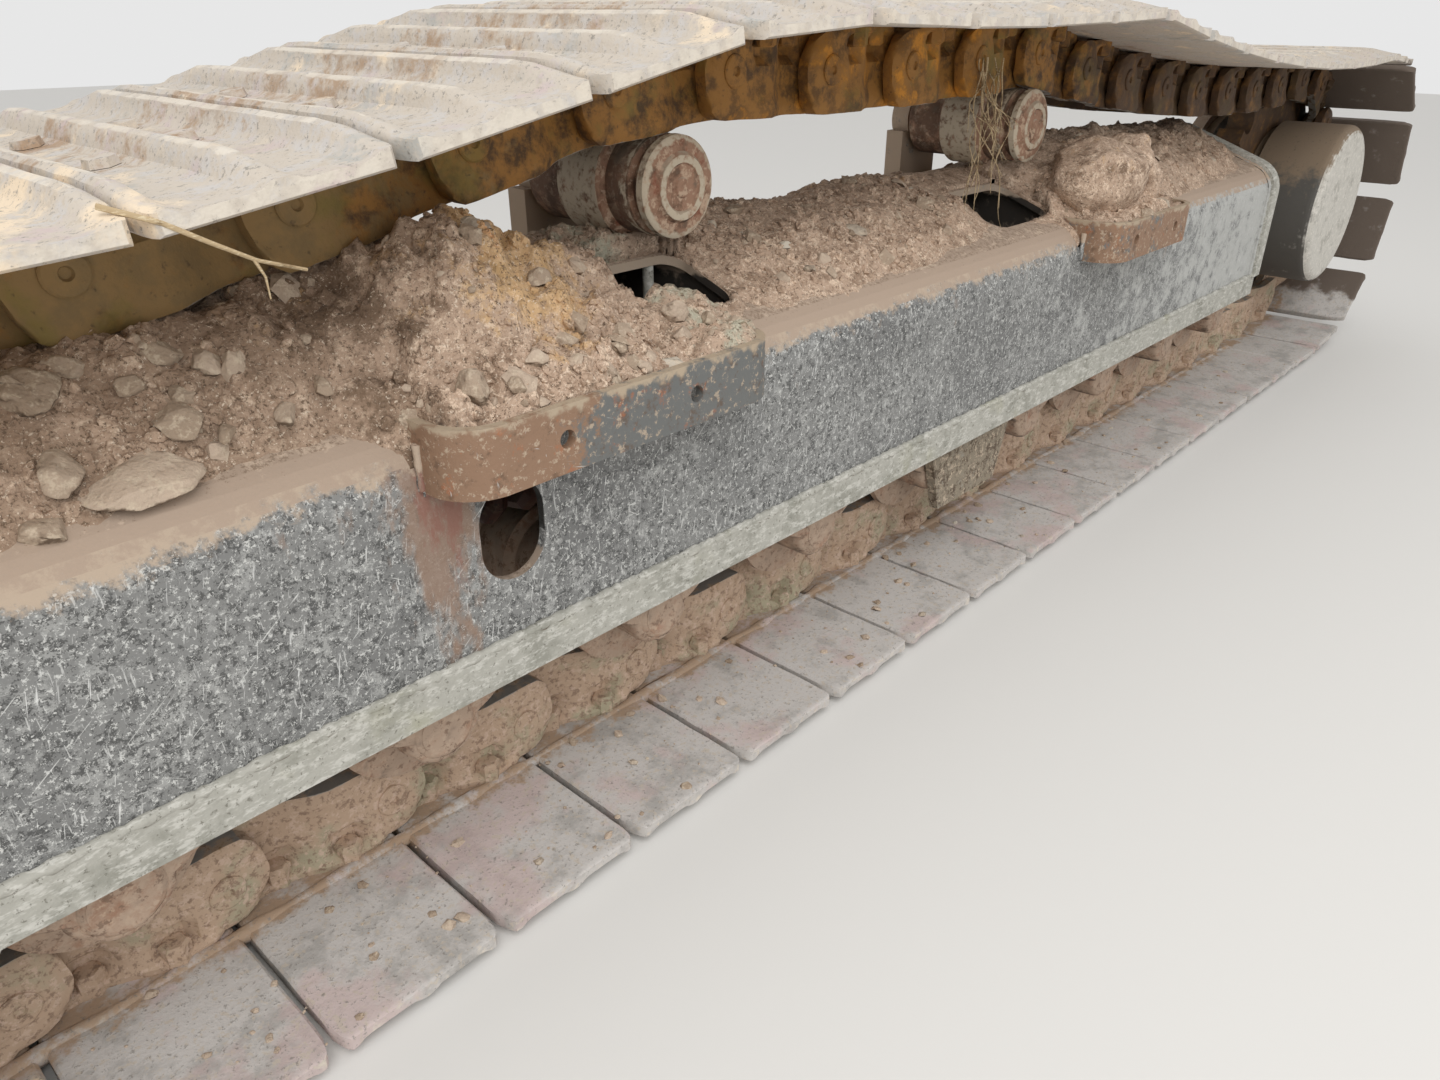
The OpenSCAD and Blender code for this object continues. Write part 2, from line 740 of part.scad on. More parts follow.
module middle_guides() {
    color("gray")
        for (side = [-1, 1])
            translate([ahead(middle_guide_ahead) - middle_guide_l / 2, 0, 0])
                across(side * middle_guide_y, side * (middle_guide_y + guide_t))
                    polygon([
                        [middle_guide_slant, guide_low_z],
                        [middle_guide_l - middle_guide_slant, guide_low_z],
                        [middle_guide_l, rail_z], [0, rail_z]]);
}

block_in_y = idler_w / 2 + 10;
block_w = 80;
block_l = 190;

module idler_wheel() {
    flange_r = idler_tread_r + idler_flange_h;
    bore = idler_shaft_r + idler_bore_gap;
    half = [
        [flange_r, idler_flange_w / 2 - 6], [flange_r - 6, idler_flange_w / 2],
        [idler_tread_r, idler_flange_w / 2 + 2], [idler_tread_r, idler_w / 2],
        [idler_tread_r - 30, idler_w / 2], [idler_tread_r - 60, idler_w / 2 - 55],
        [110, idler_w / 2 - 55], [80, idler_w / 2], [bore, idler_w / 2]];
    color("sienna")
        translate([idler_x, 0, idler_z])
            turned(concat(half, [for (p = reversed(half)) [p[0], -p[1]]]));
}

module idler_shaft() {
    color("silver")
        translate([idler_x, 0, idler_z])
            round_y(idler_shaft_r, -block_in_y - block_w, block_in_y + block_w);
}

module idler_blocks() {
    color("sienna")
        for (side = [-1, 1])
            translate([idler_x, 0, idler_z])
                difference() {
                    translate([-block_l / 2, side > 0 ? block_in_y : -block_in_y - block_w, -block_h])
                        cube([block_l, block_w, 2 * block_h]);
                    round_y(idler_shaft_r + seat, side * (block_in_y - 1),
                        side * (block_in_y + block_w + 1));
                }
}

module idler_slides() {
    color("gray")
        for (side = [-1, 1])
            for (up = [-1, 1])
                translate([
                    ahead(arm_front),
                    side > 0 ? web_y - plate_t - slide_w : -web_y + plate_t,
                    idler_z + (up > 0 ? block_h + seat : -block_h - seat - slide_t)])
                    cube([arm_front - frame_front, slide_w, slide_t]);
}

yoke_back = 330;
yoke_t = 30;

module idler_yoke() {
    color("gray")
        translate([idler_x, 0, idler_z])
            union() {
                for (side = [-1, 1])
                    translate([block_l / 2, side > 0 ? block_in_y : -block_in_y - yoke_t, -yoke_arm_h / 2])
                        cube([yoke_back - block_l / 2 - yoke_t, yoke_t, yoke_arm_h]);
                translate([yoke_back - yoke_t, -block_in_y - yoke_t, -yoke_h / 2])
                    cube([yoke_t, 2 * (block_in_y + yoke_t), yoke_h]);
            }
}

cylinder_x0 = idler_x + yoke_back;
spring_x1 = ahead(recoil_stop_ahead + rib_t);
spring_x0 = spring_x1 - spring_l;

module tension_cylinder() {
    color("silver")
        translate([0, 0, idler_z])
            rotate([0, 90, 0]) {
                translate([0, 0, cylinder_x0])
                    cylinder(r = cylinder_r, h = spring_x0 - cylinder_x0);
                translate([0, 0, spring_x0 - 24])
                    cylinder(r = spring_r, h = 24);
                translate([0, 0, spring_x0 - 1])
                    cylinder(r = spring_r - spring_wire - 6, h = spring_l - 40);
            }
}

// A coil of round wire along x, swept as rings of points
module recoil_spring() {
    sides = 8;
    turn_steps = 12;
    mean_r = spring_r - spring_wire / 2;
    steps = spring_turns * turn_steps;
    rise = (spring_l - spring_wire) / steps;
    points = [for (i = [0 : steps])
        for (j = [0 : sides - 1])
            let (
                a = 360 * i / turn_steps,
                b = 360 * j / sides,
                r = mean_r + spring_wire / 2 * cos(b)
            )
            [spring_x0 + spring_wire / 2 + rise * i + spring_wire / 2 * sin(b),
                r * cos(a), idler_z + r * sin(a)]];
    walls = [for (i = [0 : steps - 1])
        for (j = [0 : sides - 1])
            let (k = (j + 1) % sides)
            [i * sides + j, i * sides + k, (i + 1) * sides + k, (i + 1) * sides + j]];
    start = [for (j = [sides - 1 : -1 : 0]) j];
    finish = [for (j = [0 : sides - 1]) steps * sides + j];
    color("firebrick")
        polyhedron(points, concat([start], walls, [finish]), convexity = 20);
}

function arc_gap_angle() =
    let (on_arc = [for (i = [1 : 3]) pins0[i]])
    atan2(on_arc[1][1] - sprocket_z, on_arc[1][0]);

module sprocket() {
    gap_r = bushing_r + tooth_play;
    color("dimgray")
        translate([sprocket_x, 0, sprocket_z])
            across(-sprocket_w / 2, sprocket_w / 2)
                difference() {
                    circle(r = sprocket_pin_r + tooth_reach, $fn = 96);
                    circle(r = sprocket_bore_r + seat);
                    for (i = [0 : tooth_count - 1])
                        rotate(arc_gap_angle() + 360 * i / tooth_count)
                            translate([sprocket_pin_r, 0])
                                circle(r = gap_r);
                }
}

hub_flange_r = 238;
hub_flange_t = 24;
hub_neck_r = 150;
hub_neck_slant = 10;

module final_drive() {
    flange_y = sprocket_w / 2 + seat;
    e = drive_edge_r;
    edge = [for (i = [0 : 6])
        let (a = 90 * i / 6)
        [drive_r - e + e * sin(a), -drive_out_y + e - e * cos(a)]];
    color("gray")
        translate([sprocket_x, 0, sprocket_z])
            turned(concat(
                [[0, -drive_out_y]], edge,
                [[drive_r, -sprocket_w / 2 - 22], [sprocket_bore_r, -sprocket_w / 2 - 14],
                    [sprocket_bore_r, flange_y], [hub_flange_r, flange_y],
                    [hub_flange_r, flange_y + hub_flange_t],
                    [hub_neck_r, flange_y + hub_flange_t + hub_neck_slant],
                    [hub_neck_r, mount_in_y - hub_flange_t],
                    [mount_plate_r - 20, mount_in_y - hub_flange_t], [mount_plate_r - 20, mount_in_y],
                    [0, mount_in_y]]));
}

module travel_motor() {
    color("gray")
        translate([sprocket_x, 0, sprocket_z])
            turned([
                [0, mount_in_y], [motor_r, mount_in_y],
                [motor_r, motor_end_y - 60], [motor_r - 25, motor_end_y - 50],
                [motor_r - 25, motor_end_y], [0, motor_end_y]]);
}

// The outline of a shoe across the travel direction, with three grousers
function shoe_outline() =
    let (
        x0 = shoe_gap / 2,
        x1 = pitch - shoe_gap / 2,
        seat_z = -pin_to_shoe,
        face_z = -pin_to_shoe - shoe_t,
        tip_z = -pin_to_tip,
        g = grouser_w / 2,
        mid = pitch / 2
    )
    [[x0, seat_z], [x1, seat_z], [x1 - g, tip_z], [x1 - 2 * g, face_z],
        [mid + g, face_z], [mid, tip_z], [mid - g, face_z],
        [x0 + 2 * g, face_z], [x0 + g, tip_z]];

// Places its children in the link's own frame: x along the link from its first pin, z inward
module at_pin(i) {
    translate([x_shift + pins0[i][0], 0, pins0[i][1]])
        rotate([0, -link_angle(i), 0])
            children();
}

module track_shoes() {
    color("gray")
        for (i = [0 : link_count - 1])
            at_pin(i)
                across(-shoe_w / 2, shoe_w / 2)
                    polygon(shoe_outline());
}

// One cranked link plate: its bushing end lies inside the next plate's pin end
module link_plate() {
    y0 = link_in_y;
    y1 = link_in_y + link_t;
    shift = link_t + link_side_gap;
    bend_a = pitch / 2 - 26;
    bend_b = pitch / 2 + 26;
    foot_a = (pitch - link_foot) / 2;
    foot_b = (pitch + link_foot) / 2;
    end_z = -pin_to_shoe / 4;
    intersection() {
        translate([0, 0, -pin_to_shoe])
            linear_extrude(pin_to_shoe + pin_to_rail)
                polygon([
                    [-link_over, y0], [bend_a, y0], [bend_b, y0 + shift],
                    [pitch + link_over, y0 + shift], [pitch + link_over, y1 + shift],
                    [bend_b, y1 + shift], [bend_a, y1], [-link_over, y1]]);
        across(0, y1 + shift + 1)
            polygon([
                [foot_a, -pin_to_shoe], [foot_b, -pin_to_shoe],
                [pitch + link_over, end_z], [pitch + link_over, pin_to_rail],
                [-link_over, pin_to_rail], [-link_over, end_z]]);
    }
}

module track_links() {
    color("peru")
        for (i = [0 : link_count - 1])
            at_pin(i) {
                link_plate();
                mirror([0, 1, 0]) link_plate();
            }
}

module track_bushings() {
    color("peru")
        for (i = [0 : link_count - 1])
            at_pin(i)
                translate([0, link_in_y - bushing_gap, 0])
                    rotate([90, 0, 0])
                        cylinder(r = bushing_r, h = 2 * (link_in_y - bushing_gap), $fn = 5);
}

outer_web();
inner_web();
outer_roof();
ridge_plate();
inner_roof();
outer_rail();
inner_rail();
frame_ribs();
end_collar();
drive_mount();
pad_front();
pad_rear();
step_bracket_front();
step_bracket_rear();
front_guides();
middle_guides();
carrier_post_1();
carrier_post_2();
carrier_roller_1();
carrier_roller_2();
track_roller_1();
track_roller_2();
track_roller_3();
track_roller_4();
track_roller_5();
track_roller_6();
track_roller_7();
track_roller_8();
track_roller_9();
roller_collars();
idler_wheel();
idler_shaft();
idler_blocks();
idler_slides();
idler_yoke();
recoil_spring();
tension_cylinder();
sprocket();
final_drive();
travel_motor();
track_shoes();
track_links();
track_bushings();
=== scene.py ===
"""A crawler track unit after work on a building site: grey frame, rusty chain, dry soil on its roof."""
import json
import math
import random
from typing import NamedTuple, Sequence

import bmesh
import bpy
import numpy as np
from mathutils import Matrix, Vector, noise
from mathutils.bvhtree import BVHTree


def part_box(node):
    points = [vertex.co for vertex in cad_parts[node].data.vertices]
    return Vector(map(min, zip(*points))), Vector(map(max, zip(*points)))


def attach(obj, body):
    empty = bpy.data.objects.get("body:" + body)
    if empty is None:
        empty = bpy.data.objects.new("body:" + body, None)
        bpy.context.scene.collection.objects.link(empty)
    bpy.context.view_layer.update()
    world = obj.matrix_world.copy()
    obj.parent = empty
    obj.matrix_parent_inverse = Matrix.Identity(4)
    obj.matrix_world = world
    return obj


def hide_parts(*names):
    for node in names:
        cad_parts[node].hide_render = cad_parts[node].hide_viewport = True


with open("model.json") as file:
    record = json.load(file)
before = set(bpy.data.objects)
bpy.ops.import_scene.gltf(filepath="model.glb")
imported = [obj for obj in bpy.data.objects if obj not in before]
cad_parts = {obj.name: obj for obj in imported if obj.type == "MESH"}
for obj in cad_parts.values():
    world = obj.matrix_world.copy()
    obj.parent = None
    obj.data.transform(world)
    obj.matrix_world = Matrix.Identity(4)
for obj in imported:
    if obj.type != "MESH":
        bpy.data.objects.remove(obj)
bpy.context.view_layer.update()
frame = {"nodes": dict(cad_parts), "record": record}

# Camera fitted to the joints of the shoes on the ground, in the row frame
PHOTO_W = 1440
FOCAL_PX = 1028.1
EYE = Vector((-1.514, -0.984, 0.885))
YAW, PITCH, ROLL = 0.8275, 0.4779, 0.0038

# Sizes of the part in metres, as the frame has them. Heights on a link are counted from its pins.
LINK_PITCH = 0.190
LINK_HOLES = (0.060, 0.132)
SHOE_HALF_W = 0.300
SHOE_SEAT, SHOE_FACE, SHOE_TIP = -0.051, -0.062, -0.080
LINK_TOP = 0.054
LINK_IN, LINK_T, LINK_CRANK = 0.046, 0.025, 0.0256
BUSHING_R = 0.0295
WALL_Y, RIDGE_Z, RIDGE_W, EAVES_Z, BEND_R = 0.228, 0.629, 0.040, 0.546, 0.060
RAIL_FOOT, RAIL_HEAD = 0.266, 0.311
BEARING_Y = 0.1256
ROLLERS = [f"track_roller_{i}" for i in range(1, 10)]
BRACKETS = ("step_bracket_front", "step_bracket_rear")


def make_camera():
    """The photo's camera: its place, the way it looks, and its focal length."""
    forward = Vector((math.sin(YAW) * math.cos(PITCH), math.cos(YAW) * math.cos(PITCH), -math.sin(PITCH)))
    right = Vector((math.cos(YAW), -math.sin(YAW), 0.0))
    up = right.cross(forward)
    turned_right = right * math.cos(ROLL) + up * math.sin(ROLL)
    turned_up = up * math.cos(ROLL) - right * math.sin(ROLL)
    data = bpy.data.cameras.new("camera")
    data.sensor_width = 36.0
    data.lens = FOCAL_PX / PHOTO_W * data.sensor_width
    data.clip_start = 0.02
    data.clip_end = 60.0
    cam = bpy.data.objects.new("camera", data)
    cam.matrix_world = Matrix((turned_right, turned_up, -forward)).transposed().to_4x4()
    cam.matrix_world.translation = EYE
    bpy.context.scene.collection.objects.link(cam)
    bpy.context.scene.camera = cam


make_camera()


# Nodes, for the finishes and for what repeats

def linear(hex_colour):
    """An sRGB hex colour as linear RGBA."""
    channels = [int(hex_colour[i:i + 2], 16) / 255 for i in (1, 3, 5)]
    return (*[c / 12.92 if c <= 0.04045 else ((c + 0.055) / 1.055) ** 2.4 for c in channels], 1.0)


def add(tree, kind, inputs=None, **settings):
    """Adds a node with its settings, and gives its inputs their values or links."""
    made = tree.nodes.new(kind)
    for name, value in settings.items():
        setattr(made, name, value)
    for key, value in (inputs or {}).items():
        socket = made.inputs[key] if isinstance(key, int) else next(
            s for s in made.inputs if s.name == key and s.enabled)
        if isinstance(value, bpy.types.Node):
            value = next(s for s in value.outputs if s.enabled)
        if isinstance(value, bpy.types.NodeSocket):
            tree.links.new(value, socket)
        else:
            socket.default_value = value
    return made


class Layer(NamedTuple):
    """One layer of a finish: its colour and roughness, and the mask by which it covers what lies below.

    The mask is a noise with grains of this size in metres, from even to uneven, which may be stretched
    along the axes, turned about y, shifted and bent. A term (source, start, end, gain) adds up to its gain
    as the source goes from start to end. Sources are x, z, side (how far from the middle), up and out (how
    the surface is tilted to +Z and +Y), and shade and polish, which a piece's own points carry. Below low
    the mask is empty, and above high it has its most.
    """
    tint: str
    rough: float
    size: float
    low: float
    high: float
    most: float = 1.0
    uneven: float = 0.6
    stretch: tuple = (1, 1, 1)
    turn: float = 0.0
    shift: tuple = (0, 0, 0)
    bent: float = 0.0
    detail: float | None = None
    terms: Sequence = ()


# A layer whose grains are finer than this many metres shows no more octaves of its noise than the few
FINE_GRAIN, FEW_OCTAVES, MANY_OCTAVES = 0.02, 3.0, 5.0


def finish(name, base, layers, relief, rough, metallic=0.0):
    """A weathered finish: a base colour, layers over it, and relief as (grain, depth) in metres."""
    mat = bpy.data.materials.new(name)
    mat.use_nodes = True
    tree = mat.node_tree
    shader = tree.nodes["Principled BSDF"]
    spot = add(tree, "ShaderNodeTexCoord")
    at = add(tree, "ShaderNodeSeparateXYZ", {0: spot.outputs["Object"]})
    tilt = add(tree, "ShaderNodeSeparateXYZ", {0: spot.outputs["Normal"]})
    sources = {"x": at.outputs[0], "z": at.outputs[2], "up": tilt.outputs[2], "out": tilt.outputs[1]}
    for mark in ("shade", "polish"):
        sources[mark] = add(tree, "ShaderNodeAttribute", attribute_name=mark).outputs["Fac"]
    sources["side"] = add(tree, "ShaderNodeMath", {0: at.outputs[1]}, operation="ABSOLUTE").outputs[0]
    colour, gloss = linear(base), rough
    for coat in layers:
        turned = add(tree, "ShaderNodeMapping", {
            "Vector": spot.outputs["Object"], "Rotation": (0, math.radians(coat.turn), 0),
            "Scale": coat.stretch, "Location": coat.shift}, vector_type="TEXTURE")
        octaves = coat.detail or (MANY_OCTAVES if coat.size >= FINE_GRAIN else FEW_OCTAVES)
        value = add(tree, "ShaderNodeTexNoise", {
            "Vector": turned, "Scale": 1 / coat.size, "Detail": octaves, "Roughness": coat.uneven,
            "Distortion": coat.bent})
        for source, start, end, gain in coat.terms:
            rise = add(tree, "ShaderNodeMapRange", {
                "Value": sources[source], "From Min": start, "From Max": end, "To Max": gain})
            value = add(tree, "ShaderNodeMath", {0: value, 1: rise}, operation="ADD")
        cut = add(tree, "ShaderNodeMapRange", {
            "Value": value, "From Min": coat.low, "From Max": coat.high, "To Max": coat.most},
            interpolation_type="SMOOTHSTEP")
        colour = add(tree, "ShaderNodeMix", {0: cut, 6: colour, 7: linear(coat.tint)}, data_type="RGBA")
        gloss = add(tree, "ShaderNodeMix", {0: cut, 2: gloss, 3: coat.rough}, data_type="FLOAT")
    height = None
    for grain, depth in relief:
        bumps = add(tree, "ShaderNodeTexNoise", {
            "Vector": spot.outputs["Object"], "Scale": 1 / grain, "Detail": 3.0, "Roughness": 0.55})
        deep = add(tree, "ShaderNodeMath", {0: bumps, 1: depth}, operation="MULTIPLY")
        if height is not None:
            deep = add(tree, "ShaderNodeMath", {0: height, 1: deep}, operation="ADD")
        height = deep
    bump = add(tree, "ShaderNodeBump", {"Height": height, "Distance": 1.0, "Strength": 1.0})
    tree.links.new(bump.outputs[0], shader.inputs["Normal"])
    tree.links.new(next(s for s in colour.outputs if s.enabled), shader.inputs["Base Color"])
    tree.links.new(next(s for s in gloss.outputs if s.enabled), shader.inputs["Roughness"])
    shader.inputs["Metallic"].default_value = metallic
    return mat


def scratches(turn, length, low, tint="#c9c9c6", shift=0.0, width=0.0026):
    """Thin pale scratches: a noise as wide as one, in metres, and stretched to its length in widths.

    A real one is 1 to 2 mm wide and 15 to 60 mm long. It is drawn about 2.5 mm wide, so that it shows.
    """
    return Layer(tint, 0.55, width, low, low + 0.08, 0.7, stretch=(length, 1.0, 1.0), turn=turn,
                 shift=(shift, shift, 0.0), bent=0.3, detail=2.0)


# Terms that several layers share, named for where they let a layer lie or keep it off
GROUND_RUN = ("z", 0.35, 0.12, 0.62)
TOP_RUN = ("z", 0.55, 0.75, 0.42)
LOW_DOWN = ("z", 0.40, 0.25, 0.42)
NOT_IDLER = ("x", -1.46, -1.50, -0.42)
RAIL_UNDERSIDE = ("z", 0.268, 0.245, 0.5)
LEVEL_TOP = ("up", 0.35, 0.9, 0.65)
NOT_INWARD = ("out", -0.2, 0.2, -1.0)

# Grain sizes are judged from the photo: pocks in paint 6 to 8 mm, rubbed spots 16 to 30 mm, patches
# of clay and rust 20 to 60 mm, and changes of tone up to 200 mm. Dust and sand, finer than a millimetre,
# wouldn't show from the camera, so they are drawn as coarse as they need to show: 4 to 6 mm in colour and
# 2 to 3 mm in relief.

# Rolled steel plate under brushed grey paint: matt, pocked and scuffed pale by stones, dusty at the roof
wall_paint = finish("grey_painted_plate", "#7e7e7c", [
    Layer("#6a6a69", 0.65, 0.20, 0.42, 0.62, 0.8),
    Layer("#a0a09d", 0.75, 0.022, 0.50, 0.62, 0.8, uneven=0.85),
    Layer("#434342", 0.6, 0.008, 0.51, 0.59, 0.85, uneven=0.9),
    Layer("#c8c8c4", 0.75, 0.006, 0.55, 0.62, 0.9, uneven=0.9),
    Layer("#b4b4b0", 0.8, 0.03, 0.75, 1.0, 0.85, uneven=0.7, terms=[("x", -0.7, 1.1, 0.5)]),
    scratches(86, 9.0, 0.65),
    scratches(102, 14.0, 0.66, "#dededb", 5.0),
    scratches(-40, 24.0, 0.68, "#dcdcd8", 7.0, 0.0024),
    scratches(33, 20.0, 0.68, "#d2d2ce", 9.0, 0.0024),
    scratches(6, 10.0, 0.70, "#c0c0bc", 11.0),
    Layer("#dadad6", 0.7, 0.016, 0.69, 0.73, 0.9, uneven=0.9),
    # Clay and rust run down the wall from the front bracket's end
    Layer("#8d7564", 0.88, 0.05, 0.86, 1.05, 0.85, uneven=0.7, stretch=(0.7, 1, 1.6),
          terms=[("x", -1.17, -1.08, 0.40), ("x", -1.05, -0.99, -0.40), ("z", 0.32, 0.47, 0.24),
                 NOT_INWARD]),
    Layer("#875a4e", 0.88, 0.035, 1.0, 1.15, 0.7, uneven=0.7, stretch=(0.6, 1, 1.6),
          terms=[("x", -1.12, -1.07, 0.40), ("x", -1.06, -1.0, -0.40), ("z", 0.34, 0.50, 0.28),
                 NOT_INWARD]),
    Layer("#b3a18e", 0.92, 0.028, 0.86, 1.06, uneven=0.75,
          terms=[("z", 0.485, 0.545, 0.66), ("x", -0.2, 1.0, -0.14), ("x", -1.2, -1.35, 0.12)]),
    Layer("#a89584", 0.95, 0.02, 0.75, 0.95, uneven=0.75, terms=[("up", 0.25, 0.7, 0.70)]),
    Layer("#c6b29e", 0.95, 0.03, 1.12, 1.26, 0.8, uneven=0.8, terms=[LEVEL_TOP]),
    Layer("#84715f", 0.95, 0.006, 1.13, 1.25, 0.8, uneven=0.9, terms=[LEVEL_TOP]),
    # Painted shade, nearly black, on the inner faces of the box
    Layer("#25221f", 0.9, 0.05, 0.80, 0.95, 0.95,
          terms=[("side", 0.2285, 0.2265, 0.5), ("up", 0.02, 0.12, -0.9), ("z", 0.585, 0.605, -0.6),
                 ("x", 1.20, 1.23, -0.9)])],
    [(0.09, 0.0012), (0.012, 0.0005), (0.003, 0.0003)], 0.7)

# Flat bar, its paint gone: pale dry dust caked on rough rolled steel, brown dust and painted shade
# underneath
rail_dust = finish("dusty_flat_bar", "#a8a69d", [
    Layer("#8b8a80", 0.8, 0.05, 0.46, 0.66, 0.8, uneven=0.7),
    Layer("#c8c6be", 0.9, 0.009, 0.48, 0.62, 0.75, uneven=0.8, stretch=(2.5, 1, 1)),
    Layer("#9d9b80", 0.9, 0.16, 0.56, 0.70, 0.5),
    Layer("#68655b", 0.8, 0.006, 0.58, 0.66, 0.7, uneven=0.7),
    Layer("#8a7f6e", 0.9, 0.04, 0.70, 0.95, uneven=0.75, terms=[("z", 0.272, 0.250, 0.5)]),
    Layer("#5f5143", 0.9, 0.014, 0.98, 1.10, uneven=0.85, terms=[RAIL_UNDERSIDE]),
    Layer("#b5a591", 0.9, 0.010, 1.04, 1.12, uneven=0.85, terms=[RAIL_UNDERSIDE]),
    # Painted shade on the faces that look down
    Layer("#6b5b4a", 0.9, 0.05, 0.75, 1.0, terms=[("up", -0.3, -0.9, 0.6)])],
    [(0.04, 0.002), (0.010, 0.0012), (0.003, 0.0005)], 0.85)

# Bent steel plate: rust and clay brown at its corners, its old grey paint left in the middle
bracket_skin = finish("bent_bracket_plate", "#8a6d57", [
    Layer("#656664", 0.6, 0.045, 0.92, 1.02, uneven=0.75,
          terms=[("x", -1.03, -0.88, 0.75), ("x", -0.70, -0.64, -0.35)]),
    Layer("#5f4a3a", 0.85, 0.02, 0.52, 0.66, 0.7, uneven=0.75),
    Layer("#a5643f", 0.85, 0.03, 0.58, 0.68, 0.6, uneven=0.75),
    Layer("#b3a18c", 0.9, 0.008, 0.55, 0.66, 0.8, uneven=0.75),
    Layer("#ab9a84", 0.9, 0.02, 0.75, 0.95, terms=[("z", 0.55, 0.569, 0.45)]),
    scratches(15, 12.0, 0.70),
    scratches(85, 7.0, 0.70, shift=4.0)],
    [(0.03, 0.0012), (0.008, 0.0006), (0.003, 0.0004)], 0.75)

# Cast iron rollers and bearings: brown rust under dry clay, rough from the mould, pale on rubbed rims
roller_iron = finish("cast_iron_rust_and_clay", "#9a7862", [
    Layer("#664b39", 0.8, 0.04, 0.47, 0.64, uneven=0.7),
    Layer("#bfa68f", 0.95, 0.014, 0.50, 0.62, 0.85, uneven=0.75),
    Layer("#965038", 0.85, 0.03, 0.58, 0.70, 0.7, uneven=0.7),
    Layer("#ab9b88", 0.95, 0.02, 0.60, 0.9, terms=[("up", 0.1, 0.9, 0.4)]),
    Layer("#b09b88", 0.92, 0.04, 0.72, 0.95, 0.85, uneven=0.8, terms=[LOW_DOWN, NOT_IDLER]),
    Layer("#7d6655", 0.9, 0.012, 0.96, 1.06, 0.8, uneven=0.85, terms=[LOW_DOWN, NOT_IDLER]),
    # Painted shade on the faces that look down
    Layer("#3b3029", 0.8, 0.02, 0.55, 0.9, 0.8, terms=[("up", -0.5, -1.0, 0.4)]),
    # Painted shade darkens the top rollers' barrels under the chain; stones keep their capped ends rubbed
    Layer("#4a392d", 0.85, 0.03, 0.84, 1.04, 0.65, uneven=0.7,
          terms=[("z", 0.60, 0.64, 0.25), ("out", -0.7, -0.3, 0.25), ("x", -1.20, -1.25, -0.6)]),
    Layer("#bfb29d", 0.8, 0.01, 0.9, 1.15, terms=[("polish", 0.3, 1.0, 0.6)])],
    [(0.02, 0.0016), (0.006, 0.0008), (0.002, 0.0003)], 0.8)

# Forged chain steel: orange rust on the top strand, darker to the rear, dry clay on the bottom one, and
# a strip that the rollers keep bright along each link's rail
chain_rust = finish("forged_steel_orange_rust", "#966a31", [
    Layer("#4f3922", 0.75, 0.03, 0.42, 0.64, uneven=0.7),
    Layer("#cf8d30", 0.8, 0.06, 0.62, 0.78, 0.9, uneven=0.7,
          terms=[("x", -0.55, -0.30, 0.12), ("x", 0.05, 0.25, -0.1)]),
    Layer("#87704a", 0.8, 0.05, 0.78, 0.95, 0.8, uneven=0.7,
          terms=[("x", -0.7, -1.1, 0.4), ("z", 0.40, 0.45, 0.1)]),
    Layer("#7c6c36", 0.8, 0.07, 0.52, 0.68, 0.7, terms=[("shade", 0.4, 1.0, 0.14)]),
    Layer("#3d3023", 0.75, 0.012, 0.60, 0.72, 0.6, uneven=0.75),
    Layer("#4d3b2d", 0.75, 0.03, 0.62, 0.95, 0.85, terms=[("x", 0.05, 0.6, 0.45)]),
    Layer("#bda48d", 0.95, 0.02, 0.85, 1.05, uneven=0.75, terms=[GROUND_RUN, ("shade", 0.2, 0.9, 0.1)]),
    Layer("#a5a48a", 0.9, 0.09, 1.10, 1.25, 0.7, terms=[GROUND_RUN]),
    Layer("#8a7260", 0.9, 0.008, 1.13, 1.25, 0.8, uneven=0.75, terms=[GROUND_RUN]),
    Layer("#cdb5a2", 0.9, 0.010, 1.14, 1.26, 0.8, uneven=0.75, terms=[GROUND_RUN]),
    Layer("#8f8c86", 0.4, 0.02, 1.0, 1.15, 0.9, terms=[("polish", 0.6, 1.0, 0.6)])],
    [(0.02, 0.0014), (0.006, 0.0008), (0.002, 0.0003)], 0.72, 0.1)

# Hardened shoe steel, worn by stones: pale cream dust on top, grey and pinkish clay on the ground run
shoe_dust = finish("worn_shoe_steel_dust", "#c0bbb6", [
    Layer("#a6a29d", 0.75, 0.06, 0.46, 0.64, uneven=0.7),
    Layer("#c2a8a4", 0.9, 0.11, 0.51, 0.63, 0.55),
    Layer("#c2b8ab", 0.9, 0.03, 0.78, 0.96, uneven=0.75, terms=[TOP_RUN]),
    Layer("#a9a9a5", 0.85, 0.08, 0.98, 1.08, 0.8, uneven=0.7, terms=[TOP_RUN]),
    Layer("#e6d2b6", 0.9, 0.06, 0.88, 1.02, 0.8, terms=[("z", 0.60, 0.70, 0.3), ("x", -1.2, -1.45, 0.3)]),
    Layer("#c09a58", 0.9, 0.16, 1.14, 1.24, 0.6, terms=[TOP_RUN, ("shade", 0.6, 1.0, 0.12)]),
    Layer("#bcb0a0", 0.9, 0.010, 0.54, 0.64, 0.7, uneven=0.75),
    Layer("#a89079", 0.95, 0.04, 0.88, 1.08, uneven=0.7,
          terms=[("side", 0.16, 0.11, 0.42), ("z", 0.5, 0.1, 0.1)]),
    Layer("#7f7a73", 0.7, 0.006, 0.57, 0.66, 0.7, uneven=0.85),
    Layer("#d6cdbf", 0.85, 0.02, 1.0, 1.2, 0.8, terms=[("polish", 0.5, 1.0, 0.5), ("z", 0.55, 0.75, 0.12)]),
    # Painted shade on the shoes that go round the rear end, between the strands
    Layer("#665a50", 0.9, 0.05, 0.65, 0.90,
          terms=[("x", 1.55, 1.85, 0.50), ("z", 0.74, 0.78, -0.4), ("z", 0.14, 0.08, -0.5)])],
    [(0.06, 0.0016), (0.012, 0.0008), (0.003, 0.0004)], 0.85)
